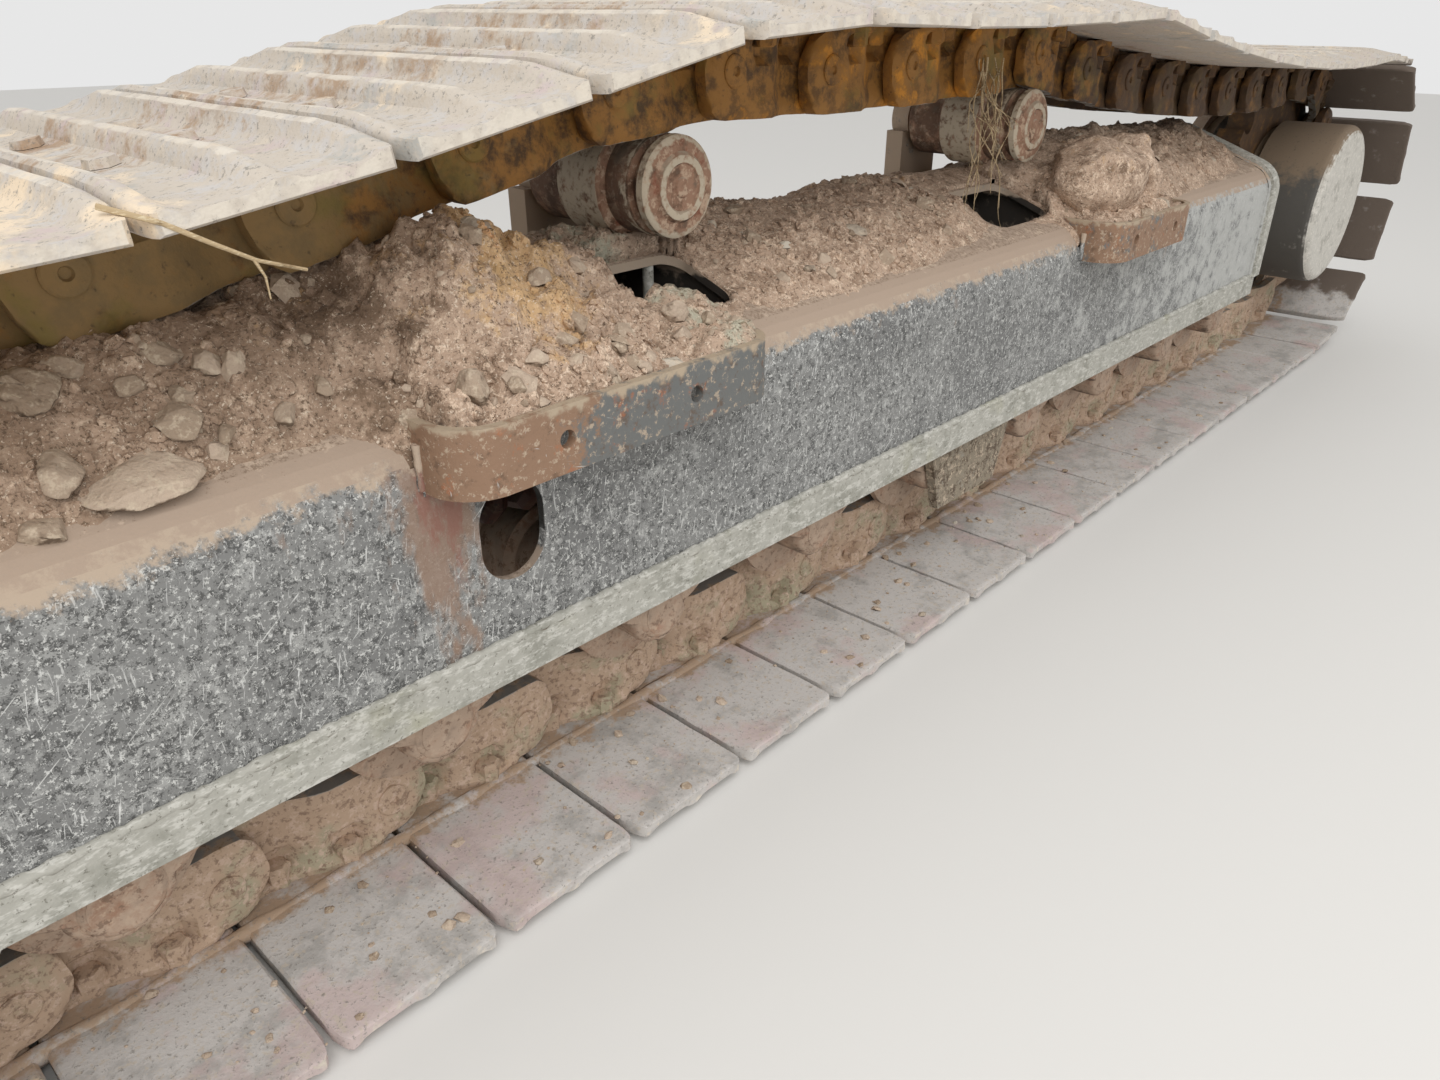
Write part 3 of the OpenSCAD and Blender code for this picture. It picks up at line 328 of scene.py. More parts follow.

# Painted cast drive housing: pale grey face, painted shade round its side, dusty brown on top
drive_paint = finish("cast_housing_old_paint", "#c4c0b7", [
    Layer("#a8a49b", 0.75, 0.06, 0.48, 0.66, uneven=0.7),
    Layer("#d6d1c8", 0.85, 0.012, 0.50, 0.62, 0.85, uneven=0.75),
    # Painted shade on the side, which turns away from the face
    Layer("#55524d", 0.75, 0.05, 0.75, 0.95, terms=[("out", -0.85, -0.3, 0.55)]),
    Layer("#857461", 0.95, 0.03, 0.68, 1.0, uneven=0.7, terms=[("up", 0.1, 0.7, 0.65)]),
    Layer("#4f4a43", 0.8, 0.008, 0.62, 0.7, 0.7, uneven=0.75)],
    [(0.05, 0.0012), (0.010, 0.0006), (0.003, 0.0003)], 0.75)

# Turned steel, oiled by its seal: greyer and smoother than the rest, with fine rust along the ends
bright_steel = finish("turned_steel_shaft", "#8b8a87", [
    Layer("#6e6b66", 0.4, 0.05, 0.45, 0.65),
    Layer("#7a5a43", 0.7, 0.015, 0.56, 0.68, 0.8, uneven=0.75)],
    [(0.006, 0.0001), (0.002, 0.00005)], 0.35, 0.8)

# Coiled spring bar in brown-red paint, chipped down to steel
spring_paint = finish("chipped_spring_paint", "#5f3c31", [
    Layer("#7d6a5c", 0.9, 0.02, 0.5, 0.66, uneven=0.7),
    Layer("#3e3531", 0.6, 0.008, 0.58, 0.66, 0.8, uneven=0.75)],
    [(0.01, 0.0005), (0.003, 0.0002)], 0.6)

# Dry clay soil: crumbly, light brown where dry, orange and yellow in the front heap, greyer by the window
soil_skin = finish("dry_clay_soil", "#b89f8a", [
    Layer("#927a66", 0.97, 0.03, 0.46, 0.64, uneven=0.75),
    Layer("#dac3ac", 0.97, 0.012, 0.52, 0.63, 0.9, uneven=0.85),
    Layer("#917a66", 0.97, 0.04, 0.72, 0.95, 0.75, uneven=0.7, terms=[("x", -1.01, -1.08, 0.38)]),
    Layer("#705b49", 0.97, 0.03, 0.85, 1.05, 0.8, uneven=0.7,
          terms=[("x", -1.02, -1.06, 0.2), ("x", -1.17, -1.11, 0.2), ("z", 0.60, 0.64, 0.12)]),
    Layer("#d3ac76", 0.97, 0.035, 0.86, 1.05, 0.6, uneven=0.75,
          terms=[("x", -1.02, -0.93, 0.25), ("x", -0.86, -0.78, -0.25), ("z", 0.57, 0.64, 0.30)]),
    Layer("#d39a6c", 0.97, 0.05, 1.10, 1.22, 0.6, uneven=0.7,
          terms=[("x", -1.02, -0.95, 0.25), ("x", -0.90, -0.82, -0.25), ("z", 0.62, 0.68, 0.30)]),
    Layer("#b9b8a4", 0.97, 0.03, 0.72, 0.92, 0.8, uneven=0.7,
          terms=[("x", -0.80, -0.72, 0.30), ("x", -0.66, -0.60, -0.30)]),
    Layer("#62503f", 0.97, 0.005, 0.55, 0.63, 0.8, uneven=0.85),
    Layer("#e6d6c2", 0.97, 0.004, 0.59, 0.65, 0.7, uneven=0.85)],
    [(0.018, 0.006), (0.006, 0.0028), (0.0018, 0.0008)], 0.97)

# Broken stones and lumps: grey to sand, with one shade each and dust in their pores
stone_skin = finish("broken_limestone", "#b8a592", [
    Layer("#96836f", 0.95, 1.0, 0.62, 1.0, terms=[("shade", 0.0, 0.6, 0.4)]),
    Layer("#cbc3b4", 0.95, 1.0, 0.95, 1.1, terms=[("shade", 0.6, 1.0, 0.6)]),
    Layer("#c9b9a3", 0.95, 0.01, 0.50, 0.64, 0.7, uneven=0.75),
    # Painted shade on the faces that look down
    Layer("#6b5a4a", 0.95, 0.012, 0.60, 0.80, terms=[("up", 0.0, -0.9, 0.3)])],
    [(0.022, 0.005), (0.006, 0.0022), (0.002, 0.0007)], 0.93)

# Dry root and grass stem: straw-coloured bast with darker knots
root_bark = finish("dry_root_bast", "#b09a78", [
    Layer("#806a4c", 0.8, 0.02, 0.5, 0.65),
    Layer("#cfc0a0", 0.7, 0.006, 0.52, 0.64, 0.8, stretch=(1, 1, 0.2))],
    [(0.002, 0.0002)], 0.8)


# Meshes

def smooth(low, high, value):
    """Rises softly from 0 at low to 1 at high."""
    t = min(1.0, max(0.0, (value - low) / (high - low)))
    return t * t * (3 - 2 * t)


def band(low, high, soft, value):
    """1 between low and high and 0 outside them, with soft ends."""
    return smooth(low - soft, low + soft, value) * (1 - smooth(high - soft, high + soft, value))


def shaped(name, points, faces, crease=35, polish=None):
    """A mesh with its faces outwards, smooth but for edges over the crease, and its rubbed points."""
    mesh = bpy.data.meshes.new(name)
    mesh.from_pydata([tuple(p) for p in points], [], faces)
    if polish:
        mesh.attributes.new("polish", "FLOAT", "POINT").data.foreach_set("value", polish)
    bm = bmesh.new()
    bm.from_mesh(mesh)
    bmesh.ops.remove_doubles(bm, verts=bm.verts, dist=1e-5)
    bmesh.ops.recalc_face_normals(bm, faces=bm.faces)
    for face in bm.faces:
        face.smooth = True
    for edge in bm.edges:
        edge.smooth = len(edge.link_faces) == 2 and edge.calc_face_angle() < math.radians(crease)
    bm.to_mesh(mesh)
    bm.free()
    return mesh


def tube(rows, n, base=0):
    """The faces of a closed tube: rows of n points each, counted from base, and its two ends."""
    faces = []
    for row in range(rows - 1):
        for k in range(n):
            a, b = base + row * n + k, base + row * n + (k + 1) % n
            faces.append((a, b, b + n, a + n))
    last = base + (rows - 1) * n
    return faces + [tuple(range(base, base + n)), tuple(range(last, last + n))]


def joined(name, meshes):
    """One mesh out of several, with the marks on their points kept."""
    bm = bmesh.new()
    for mesh in meshes:
        bm.from_mesh(mesh)
    mesh = bpy.data.meshes.new(name)
    bm.to_mesh(mesh)
    bm.free()
    return mesh


def round_y(centre, radius, angle, y):
    """A point at a radius and an angle about the y axis through the centre."""
    return centre[0] + radius * math.cos(angle), y, centre[2] + radius * math.sin(angle)


def lathe(name, profile, steps, centre=(0, 0, 0), rubbed=()):
    """Turns (radius, y) points about the y axis through the centre. Rubbed lists the polished ones."""
    points, faces, n = [], [], len(profile)
    polish = [1.0 if k in rubbed else 0.0 for k in range(n)] * steps
    for i in range(steps):
        points += [round_y(centre, r, math.tau * i / steps, centre[1] + y) for r, y in profile]
    for i in range(steps):
        j = (i + 1) % steps
        for k in range(n - 1):
            ring = [i * n + k, j * n + k, j * n + k + 1, i * n + k + 1]
            if profile[k][0] == 0:
                ring = [i * n + k, j * n + k + 1, i * n + k + 1]
            elif profile[k + 1][0] == 0:
                ring = [i * n + k, j * n + k, i * n + k + 1]
            faces.append(tuple(ring))
    return shaped(name, points, faces, polish=polish)


def stem(points, thick, thin, sides=6):
    """A closed stem along the points, tapering from its first to its last."""
    points = [Vector(p) for p in points]
    skin = []
    for i, p in enumerate(points):
        way = (points[min(i + 1, len(points) - 1)] - points[max(i - 1, 0)]).normalized()
        across = way.orthogonal().normalized()
        other = way.cross(across)
        r = thick + (thin - thick) * i / (len(points) - 1)
        skin += [p + r * (across * math.cos(math.tau * k / sides) + other * math.sin(math.tau * k / sides))
                 for k in range(sides)]
    return shaped("stem", skin, tube(len(points), sides), 60)


def place(name, mesh, material, slot, replaces=()):
    """Puts a finished mesh in the scene on the frame's body, with its finish and what it stands for."""
    mesh.name = name
    mesh.materials.clear()
    mesh.materials.append(material)
    piece = bpy.data.objects.new(name, mesh)
    bpy.context.scene.collection.objects.link(piece)
    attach(piece, "frame")
    if replaces:
        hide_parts(*replaces)
    return piece


def middle_of(node):
    """The middle of a node's box."""
    return tuple((low + high) / 2 for low, high in zip(*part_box(node)))


def start_mesh(points, edges=(), faces=(), **marks):
    """A mesh for a tree to start from. Each mark names one number or vector for every point."""
    mesh = bpy.data.meshes.new("start")
    mesh.from_pydata([tuple(p) for p in points], list(edges), list(faces))
    for name, values in marks.items():
        wide = not isinstance(values[0], (int, float))
        layer = mesh.attributes.new(name, "FLOAT_VECTOR" if wide else "FLOAT", "POINT")
        layer.data.foreach_set("vector" if wide else "value", np.array(values, np.float32).ravel())
    return mesh


def grown(start, tree, sizes):
    """Runs a Geometry Nodes tree on a mesh and returns the plain mesh it makes."""
    carrier = bpy.data.objects.new("carrier", start)
    bpy.context.scene.collection.objects.link(carrier)
    modifier = carrier.modifiers.new("grow", "NODES")
    modifier.node_group = tree
    for item in tree.interface.items_tree:
        if item.item_type == "SOCKET" and item.in_out == "INPUT" and item.name in sizes:
            modifier[item.identifier] = sizes[item.name]
    bpy.context.view_layer.update()
    graph = bpy.context.evaluated_depsgraph_get()
    mesh = bpy.data.meshes.new_from_object(carrier.evaluated_get(graph), preserve_all_data_layers=True,
                                           depsgraph=graph)
    bpy.data.objects.remove(carrier)
    return mesh


def place_grown(name, start, tree, sizes, material, slot, replaces=()):
    """Runs a tree in one finish and puts the mesh that it makes in the scene."""
    return place(name, grown(start, tree, {**sizes, "Finish": material}), material, slot, replaces)


def new_tree(name, sockets):
    """An empty Geometry Nodes tree with its named inputs. Returns it and its input node's outputs."""
    tree = bpy.data.node_groups.new(name, "GeometryNodeTree")
    tree.interface.new_socket("Geometry", in_out="INPUT", socket_type="NodeSocketGeometry")
    for label, kind in sockets.items():
        tree.interface.new_socket(label, in_out="INPUT", socket_type="NodeSocket" + kind)
    tree.interface.new_socket("Geometry", in_out="OUTPUT", socket_type="NodeSocketGeometry")
    return tree, add(tree, "NodeGroupInput").outputs


def end_tree(tree, geometry, finish_socket):
    """Ends a tree in Realize Instances and Set Material."""
    real = add(tree, "GeometryNodeRealizeInstances", {"Geometry": geometry})
    coated = add(tree, "GeometryNodeSetMaterial", {"Geometry": real, "Material": finish_socket})
    add(tree, "NodeGroupOutput", {"Geometry": coated})
    return tree


def ruffled(tree, geometry, depth, grain):
    """Pushes points about by a noise of this grain, up to half of the depth each way."""
    rough = add(tree, "ShaderNodeTexNoise", grain)
    about = add(tree, "ShaderNodeVectorMath", {0: rough.outputs["Color"], 1: (0.5, 0.5, 0.5)},
                operation="SUBTRACT")
    push = add(tree, "ShaderNodeVectorMath", {0: about, "Scale": depth}, operation="SCALE")
    return add(tree, "GeometryNodeSetPosition", {"Geometry": geometry, "Offset": push})


def shaded(tree, instances, seed):
    """Gives each instance its own shade from 0 to 1."""
    tone = add(tree, "FunctionNodeRandomValue", {2: 0.0, 3: 1.0, "Seed": seed})
    return add(tree, "GeometryNodeStoreNamedAttribute", {
        "Geometry": instances, "Name": "shade", "Value": tone}, data_type="FLOAT", domain="INSTANCE")


def chain_tree():
    """Sets one link shape at each pin, leaning as the chain does there, and wears it unevenly."""
    tree, given = new_tree("along_the_chain", {
        "Link shape": "Object", "Wear depth": "Float", "Wear size": "Float", "Finish": "Material"})
    lean = add(tree, "GeometryNodeInputNamedAttribute", {"Name": "lean"}, data_type="FLOAT")
    angles = add(tree, "ShaderNodeCombineXYZ", {"Y": lean})
    turn = add(tree, "FunctionNodeEulerToRotation", {"Euler": angles})
    shape = add(tree, "GeometryNodeObjectInfo", {"Object": given["Link shape"]})
    pins = add(tree, "GeometryNodeMeshToPoints", {"Mesh": given["Geometry"]})
    links = add(tree, "GeometryNodeInstanceOnPoints", {
        "Points": pins, "Instance": shape.outputs["Geometry"], "Rotation": turn})
    whole = add(tree, "GeometryNodeRealizeInstances", {"Geometry": shaded(tree, links, 11)})
    often = add(tree, "ShaderNodeMath", {0: 1.0, 1: given["Wear size"]}, operation="DIVIDE")
    worn = ruffled(tree, whole, given["Wear depth"], {"Scale": often, "Detail": 2.0})
    return end_tree(tree, worn, given["Finish"])


def fastener_tree():
    """Sets a hexagon head on its washer at each point, standing along the point's way."""
    tree, given = new_tree("hexagon_bolts", {
        "Head radius": "Float", "Head height": "Float", "Washer radius": "Float", "Washer height": "Float",
        "Finish": "Material"})
    way = add(tree, "GeometryNodeInputNamedAttribute", {"Name": "way"}, data_type="FLOAT_VECTOR")
    stand = add(tree, "FunctionNodeAlignRotationToVector", {"Vector": way}, axis="Z")
    small = add(tree, "ShaderNodeMath", {0: given["Head radius"], 1: 0.88}, operation="MULTIPLY")
    head = add(tree, "GeometryNodeMeshCone", {
        "Vertices": 6, "Radius Top": small, "Radius Bottom": given["Head radius"],
        "Depth": given["Head height"]})
    lift = add(tree, "ShaderNodeCombineXYZ", {"Z": given["Washer height"]})
    raised = add(tree, "GeometryNodeTransform", {"Geometry": head, "Translation": lift})
    disc = add(tree, "GeometryNodeMeshCylinder", {
        "Vertices": 14, "Radius": given["Washer radius"], "Depth": given["Washer height"]})
    bolt = add(tree, "GeometryNodeJoinGeometry", {"Geometry": raised})
    tree.links.new(disc.outputs["Mesh"], bolt.inputs[0])
    points = add(tree, "GeometryNodeMeshToPoints", {"Mesh": given["Geometry"]})
    dice = add(tree, "FunctionNodeRandomValue", {"Max": 1.0, "Seed": 5})
    spin = add(tree, "ShaderNodeCombineXYZ", {"Z": dice})
    own = add(tree, "FunctionNodeEulerToRotation", {"Euler": spin})
    both = add(tree, "FunctionNodeRotateRotation", {0: stand, 1: own}, rotation_space="LOCAL")
    bolts = add(tree, "GeometryNodeInstanceOnPoints", {
        "Points": points, "Instance": bolt, "Rotation": both})
    return end_tree(tree, bolts, given["Finish"])


def weld_tree():
    """Lays a rippled weld bead along a line."""
    tree, given = new_tree("weld_bead", {
        "Bead radius": "Float", "Ripple length": "Float", "Ripple depth": "Float", "Finish": "Material"})
    line = add(tree, "GeometryNodeMeshToCurve", {"Mesh": given["Geometry"]})
    fine = add(tree, "GeometryNodeResampleCurve", {"Curve": line, "Length": given["Ripple length"]},
               mode="LENGTH")
    ring = add(tree, "GeometryNodeCurvePrimitiveCircle", {"Resolution": 7, "Radius": given["Bead radius"]})
    dice = add(tree, "FunctionNodeRandomValue", {2: 0.75, 3: 1.25, "Seed": 3})
    bead = add(tree, "GeometryNodeCurveToMesh", {
        "Curve": fine, "Profile Curve": ring.outputs["Curve"], "Scale": dice, "Fill Caps": True})
    laid = ruffled(tree, bead, given["Ripple depth"], {"Scale": 90.0, "Detail": 2.0})
    return end_tree(tree, laid, given["Finish"])


def crumb_tree():
    """Scatters three broken shapes over a surface, many small and few large, as its cover says."""
    tree, given = new_tree("crumbs", {
        "Density": "Float", "Smallest": "Float", "Largest": "Float", "Flatness": "Float", "Seed": "Int",
        "Finish": "Material"})
    cover = add(tree, "GeometryNodeInputNamedAttribute", {"Name": "cover"}, data_type="FLOAT")
    thick = add(tree, "ShaderNodeMath", {0: cover, 1: given["Density"]}, operation="MULTIPLY")
    spots = add(tree, "GeometryNodeDistributePointsOnFaces", {
        "Mesh": given["Geometry"], "Density": thick, "Seed": given["Seed"]})
    shapes = add(tree, "GeometryNodeJoinGeometry")
    for i in range(3):
        ball = add(tree, "GeometryNodeMeshIcoSphere", {"Radius": 1.0, "Subdivisions": 2 if i == 0 else 1})
        where = add(tree, "GeometryNodeInputPosition")
        moved = add(tree, "ShaderNodeVectorMath", {0: where, 1: (7.0 * i, 3.0, 1.0)}, operation="ADD")
        broken = ruffled(tree, ball, 1.5, {"Vector": moved, "Scale": 0.8, "Detail": 1.0})
        single = add(tree, "GeometryNodeGeometryToInstance", {"Geometry": broken})
        tree.links.new(single.outputs[0], shapes.inputs[0])
    dice = add(tree, "FunctionNodeRandomValue", {2: 0.0, 3: 1.0, "Seed": 21})
    few = add(tree, "ShaderNodeMath", {0: dice, 1: 3.5}, operation="POWER")
    size = add(tree, "ShaderNodeMapRange", {
        "Value": few, "To Min": given["Smallest"], "To Max": given["Largest"]})
    low = add(tree, "ShaderNodeMath", {0: size, 1: given["Flatness"]}, operation="MULTIPLY")
    long = add(tree, "ShaderNodeMath", {0: size, 1: 1.25}, operation="MULTIPLY")
    form = add(tree, "ShaderNodeCombineXYZ", {"X": long, "Y": size, "Z": low})
    which = add(tree, "FunctionNodeRandomValue", {"Min": 0, "Max": 2, "Seed": 9}, data_type="INT")
    turn = add(tree, "FunctionNodeRandomValue", {
        0: (-0.5, -0.5, 0.0), 1: (0.5, 0.5, 6.28), "Seed": 4}, data_type="FLOAT_VECTOR")
    own = add(tree, "FunctionNodeEulerToRotation", {"Euler": turn})
    both = add(tree, "FunctionNodeRotateRotation", {0: spots.outputs["Rotation"], 1: own},
               rotation_space="LOCAL")
    pieces = add(tree, "GeometryNodeInstanceOnPoints", {
        "Points": spots, "Instance": shapes, "Pick Instance": True, "Instance Index": which,
        "Rotation": both, "Scale": form})
    return end_tree(tree, shaded(tree, pieces, 31), given["Finish"])


chain, fasteners, weld, crumbs = chain_tree(), fastener_tree(), weld_tree(), crumb_tree()


# Chain: shoes, links and pins

def chain_pins():
    """The middle of each pin in order round the loop, along +X on the ground, and the lean of its link."""
    one_bushing = 0.08
    groups = []
    for vertex in frame["nodes"]["track_bushings"].data.vertices:
        flat = Vector((vertex.co.x, vertex.co.z))
        near = next((g for g in groups if (g[0] - flat).length < one_bushing), None)
        if near is None:
            groups.append([flat])
        else:
            near.append(flat)
    left = [sum(g, Vector((0, 0))) / len(g) for g in groups]

    def nearest(place):
        return left.pop(left.index(min(left, key=lambda p: (p - place).length)))

    ordered = [nearest(Vector((0, 0)))]
    ordered.append(nearest(ordered[0] + Vector((LINK_PITCH, 0))))
    while left:
        ordered.append(nearest(ordered[-1]))
    leans = []
    for i, pin in enumerate(ordered):
        way = ordered[(i + 1) % len(ordered)] - pin
        leans.append(math.atan2(-way.y, way.x))
    return [(p.x, 0.0, p.y) for p in ordered], leans


def shoe_shape():
    """One shoe of worn rolled section with three low grousers, 600 mm wide, its corners clipped."""
    middle, half = 0.095, 0.015
    flank = [(half + 0.007, SHOE_FACE), (half, -0.0645), (half * 0.72, -0.072), (half * 0.35, -0.0788)]
    grouser = [(middle + x, z) for x, z in flank] + [(middle, SHOE_TIP)]
    grouser += [(middle - x, z) for x, z in reversed(flank)]
    outline = [(0.007, SHOE_SEAT), (0.183, SHOE_SEAT), (0.186, -0.054), (0.186, -0.070), (0.183, -0.077),
               (0.177, SHOE_TIP), (0.170, -0.078), (0.164, -0.068), (0.156, SHOE_FACE), *grouser,
               (0.034, SHOE_FACE), (0.026, -0.068), (0.020, -0.078), (0.013, SHOE_TIP), (0.007, -0.077),
               (0.004, -0.070), (0.004, -0.054)]
    ends = [0.0, 0.003, 0.010, 0.022, 0.040, 0.065, 0.095]
    rows = [-SHOE_HALF_W + e for e in ends] + [-0.18 + 0.36 * i / 13 for i in range(14)]
    rows += [SHOE_HALF_W - e for e in reversed(ends)]
    points = []
    for y in rows:
        inward = SHOE_HALF_W - abs(y)
        clip = 0.007 * max(0.0, 1 - inward / 0.022)
        thin = 0.0022 if inward < 0.001 else 0.0
        left = 0.28 + 0.72 * smooth(0.0, 0.085, inward)
        for x, z in outline:
            x = min(max(x, 0.004 + clip + thin), 0.186 - clip - thin)
            z = z if z >= SHOE_FACE else SHOE_FACE + (z - SHOE_FACE) * left
            points.append((x, y, min(z, SHOE_SEAT - thin)))
    worn = [1.0 if SHOE_HALF_W - abs(p[1]) < 0.002 or p[2] < -0.077 else 0.0 for p in points]
    return shaped("shoe", points, tube(len(rows), len(outline)), 40, worn)


def link_shape():
    """A pair of cranked link plates: round ends, rail head, foot, and windows where the shoe nuts stand."""
    xs = [-0.046, -0.043, -0.036, -0.025, -0.012, 0.0, 0.014, 0.026, 0.036, 0.044, 0.056, 0.068, 0.078,
          0.086, 0.094, 0.102, 0.110, 0.122, 0.134, 0.146, 0.156, 0.166, 0.178, 0.190, 0.202, 0.215, 0.226,
          0.233, 0.236]
    ts = [0.0, 0.07, 0.13, 0.22, 0.33, 0.44, 0.56, 0.68, 0.78, 0.86, 0.93, 1.0]

    def top(x):
        past = max(0.0, -0.018 - x, x - 0.208) / 0.0281
        return LINK_TOP * math.sqrt(max(0.0, 1 - past ** 2.4))

    def foot(x):
        past = max(0.0, -x, x - LINK_PITCH) / 0.0461
        down = 0.046 * math.sqrt(max(0.0, 1 - past * past))
        return -down - 0.005 * band(0.016, 0.174, 0.004, x)

    def cranked(x):
        return LINK_CRANK * smooth(0.060, 0.130, x)

    def skins(x, z):
        crank = cranked(x)
        pin = min(math.hypot(x, z), math.hypot(x - LINK_PITCH, z))
        boss = 1 - smooth(0.034, 0.044, pin)
        web = band(-0.037, 0.030, 0.005, z) * (1 - boss)
        window = band(0.040, 0.080, 0.004, x) + band(0.112, 0.152, 0.004, x)
        window *= band(-0.040, -0.012, 0.004, z)
        ring = band(0.020, 0.024, 0.002, pin)
        lip = smooth(-0.040, -0.046, z) * band(0.02, 0.17, 0.006, x)
        outer = LINK_IN + LINK_T + crank - 0.005 * web - 0.012 * window - 0.003 * ring + 0.006 * lip
        inner = LINK_IN + crank + 0.004 * web * smooth(0.0, 0.4, 1 - boss)
        return inner, outer

    points, faces = [], []
    rows, cols = len(xs), len(ts)
    for side in (0, 1):
        for x in xs:
            low, high = foot(x), top(x)
            for t in ts:
                z = low + (high - low) * t
                edge = 0.003 if t in (0.0, 1.0) else 0.0
                y = skins(x, z)[side] + (edge if side == 0 else -edge)
                points.append((x, y, z))
    half = rows * cols
    for i in range(rows - 1):
        for k in range(cols - 1):
            a = i * cols + k
            faces.append((a, a + 1, a + 1 + cols, a + cols))
            faces.append((half + a, half + a + cols, half + a + 1 + cols, half + a + 1))
        for a in (i * cols, i * cols + cols - 1):
            faces.append((a, a + cols, half + a + cols, half + a))
    for a in [*range(cols - 1), *range((rows - 1) * cols, rows * cols - 1)]:
        faces.append((a, a + 1, half + a + 1, half + a))
    for x in LINK_HOLES:
        y = LINK_IN + LINK_T / 2 + 0.006 + cranked(x)
        faces += tube(3, 6, len(points))
        for z, r in ((-0.052, 0.0155), (-0.029, 0.0155), (-0.026, 0.012)):
            corners = [math.radians(60 * k + 20) for k in range(6)]
            points += [(x + r * math.cos(a), y + r * math.sin(a), z) for a in corners]
    count = len(points)
    points += [(x, -y, z) for x, y, z in points]
    faces += [tuple(count + i for i in reversed(face)) for face in faces]
    polish = [1.0 if p[2] > LINK_TOP - 0.004 else 0.0 for p in points]
    return shaped("link", points, faces, 38, polish)


def pin_shape():
    """A bushing between the links, and the pressed pin's two ends with their centre holes."""
    meshes = [lathe("bushing", [(0, -0.0455), (BUSHING_R, -0.0455), (BUSHING_R, 0.0455), (0, 0.0455)], 20)]
    face = LINK_IN + LINK_T + LINK_CRANK
    for side in (-1, 1):
        meshes.append(lathe("pin_end", [(r, side * (face + out)) for r, out in (
            (0, -0.012), (0.019, -0.012), (0.019, 0.0015), (0.017, 0.003), (0.006, 0.003), (0.004, -0.001),
            (0, -0.001))], 18))
    return joined("pin", meshes)


def run_of(name, shape, material, slot, node, depth, size):
    """Repeats one shape along the chain and lets it stand for the CAD node."""
    model = bpy.data.objects.new("model", shape)
    bpy.context.scene.collection.objects.link(model)
    place_grown(name, start_mesh(pins, lean=leans), chain, {
        "Link shape": model, "Wear depth": depth, "Wear size": size}, material, slot, [node])
    bpy.data.objects.remove(model)


pins, leans = chain_pins()
run_of("shoe_run", shoe_shape(), shoe_dust, "shoe_steel", "track_shoes", 0.0028, 0.03)
run_of("link_run", link_shape(), chain_rust, "chain_steel", "track_links", 0.0022, 0.03)
run_of("pin_run", pin_shape(), chain_rust, "chain_steel", "track_bushings", 0.0, 0.05)


def along_chain(pin, lean, x, y, z):
    """A point of a link, in its own frame, as a point of the row frame."""
    return (pin[0] + x * math.cos(lean) + z * math.sin(lean), y,
            pin[2] - x * math.sin(lean) + z * math.cos(lean))


def bolts(name, spots, ways, head, washer, material, slot):
    """Bolts at the spots, each with the (radius, height) of its head and of its washer."""
    place_grown(name, start_mesh(spots, way=ways), fasteners, {
        "Head radius": head[0], "Head height": head[1], "Washer radius": washer[0],
        "Washer height": washer[1]}, material, slot)


spots, ways = [], []
for pin, lean in zip(pins, leans):
    for x, y in ((LINK_HOLES[0], 0.062), (LINK_HOLES[1], 0.085)):
        for side in (-1, 1):
            spots.append(along_chain(pin, lean, x, side * y, SHOE_FACE))
            ways.append((-math.sin(lean), 0, -math.cos(lean)))
bolts("shoe_bolts", spots, ways, (0.014, 0.007), (0.0165, 0.001), shoe_dust, "shoe_steel")


# Carrier rollers, with the cap, its groove and the plug in its middle

def carrier(name, node):
    """A carrier roller: its capped end outwards, two flanges and the tread between them."""
    x, _, z = middle_of(node)
    profile = [
        (0, -0.111), (0.010, -0.111), (0.012, -0.109), (0.026, -0.109), (0.028, -0.1112), (0.036, -0.1112),
        (0.040, -0.107), (0.053, -0.105), (0.0575, -0.102), (0.058, -0.093), (0.056, -0.0905),
        (0.051, -0.088), (0.050, -0.080), (0.0565, -0.078), (0.058, -0.075), (0.058, -0.040),
        (0.060, -0.038), (0.066, -0.0365), (0.068, -0.034), (0.068, 0.034), (0.066, 0.0365), (0.060, 0.038),
        (0.058, 0.040), (0.058, 0.102), (0.055, 0.105), (0.030, 0.105), (0.030, 0.151), (0, 0.151)]
    place(name, lathe(name, profile, 72, (x, 0, z), rubbed=(4, 5, 7, 8, 9, 14, 18, 19)), roller_iron,
          "roller_steel", [node])


carrier("carrier_roller_front", "carrier_roller_1")
carrier("carrier_roller_back", "carrier_roller_2")


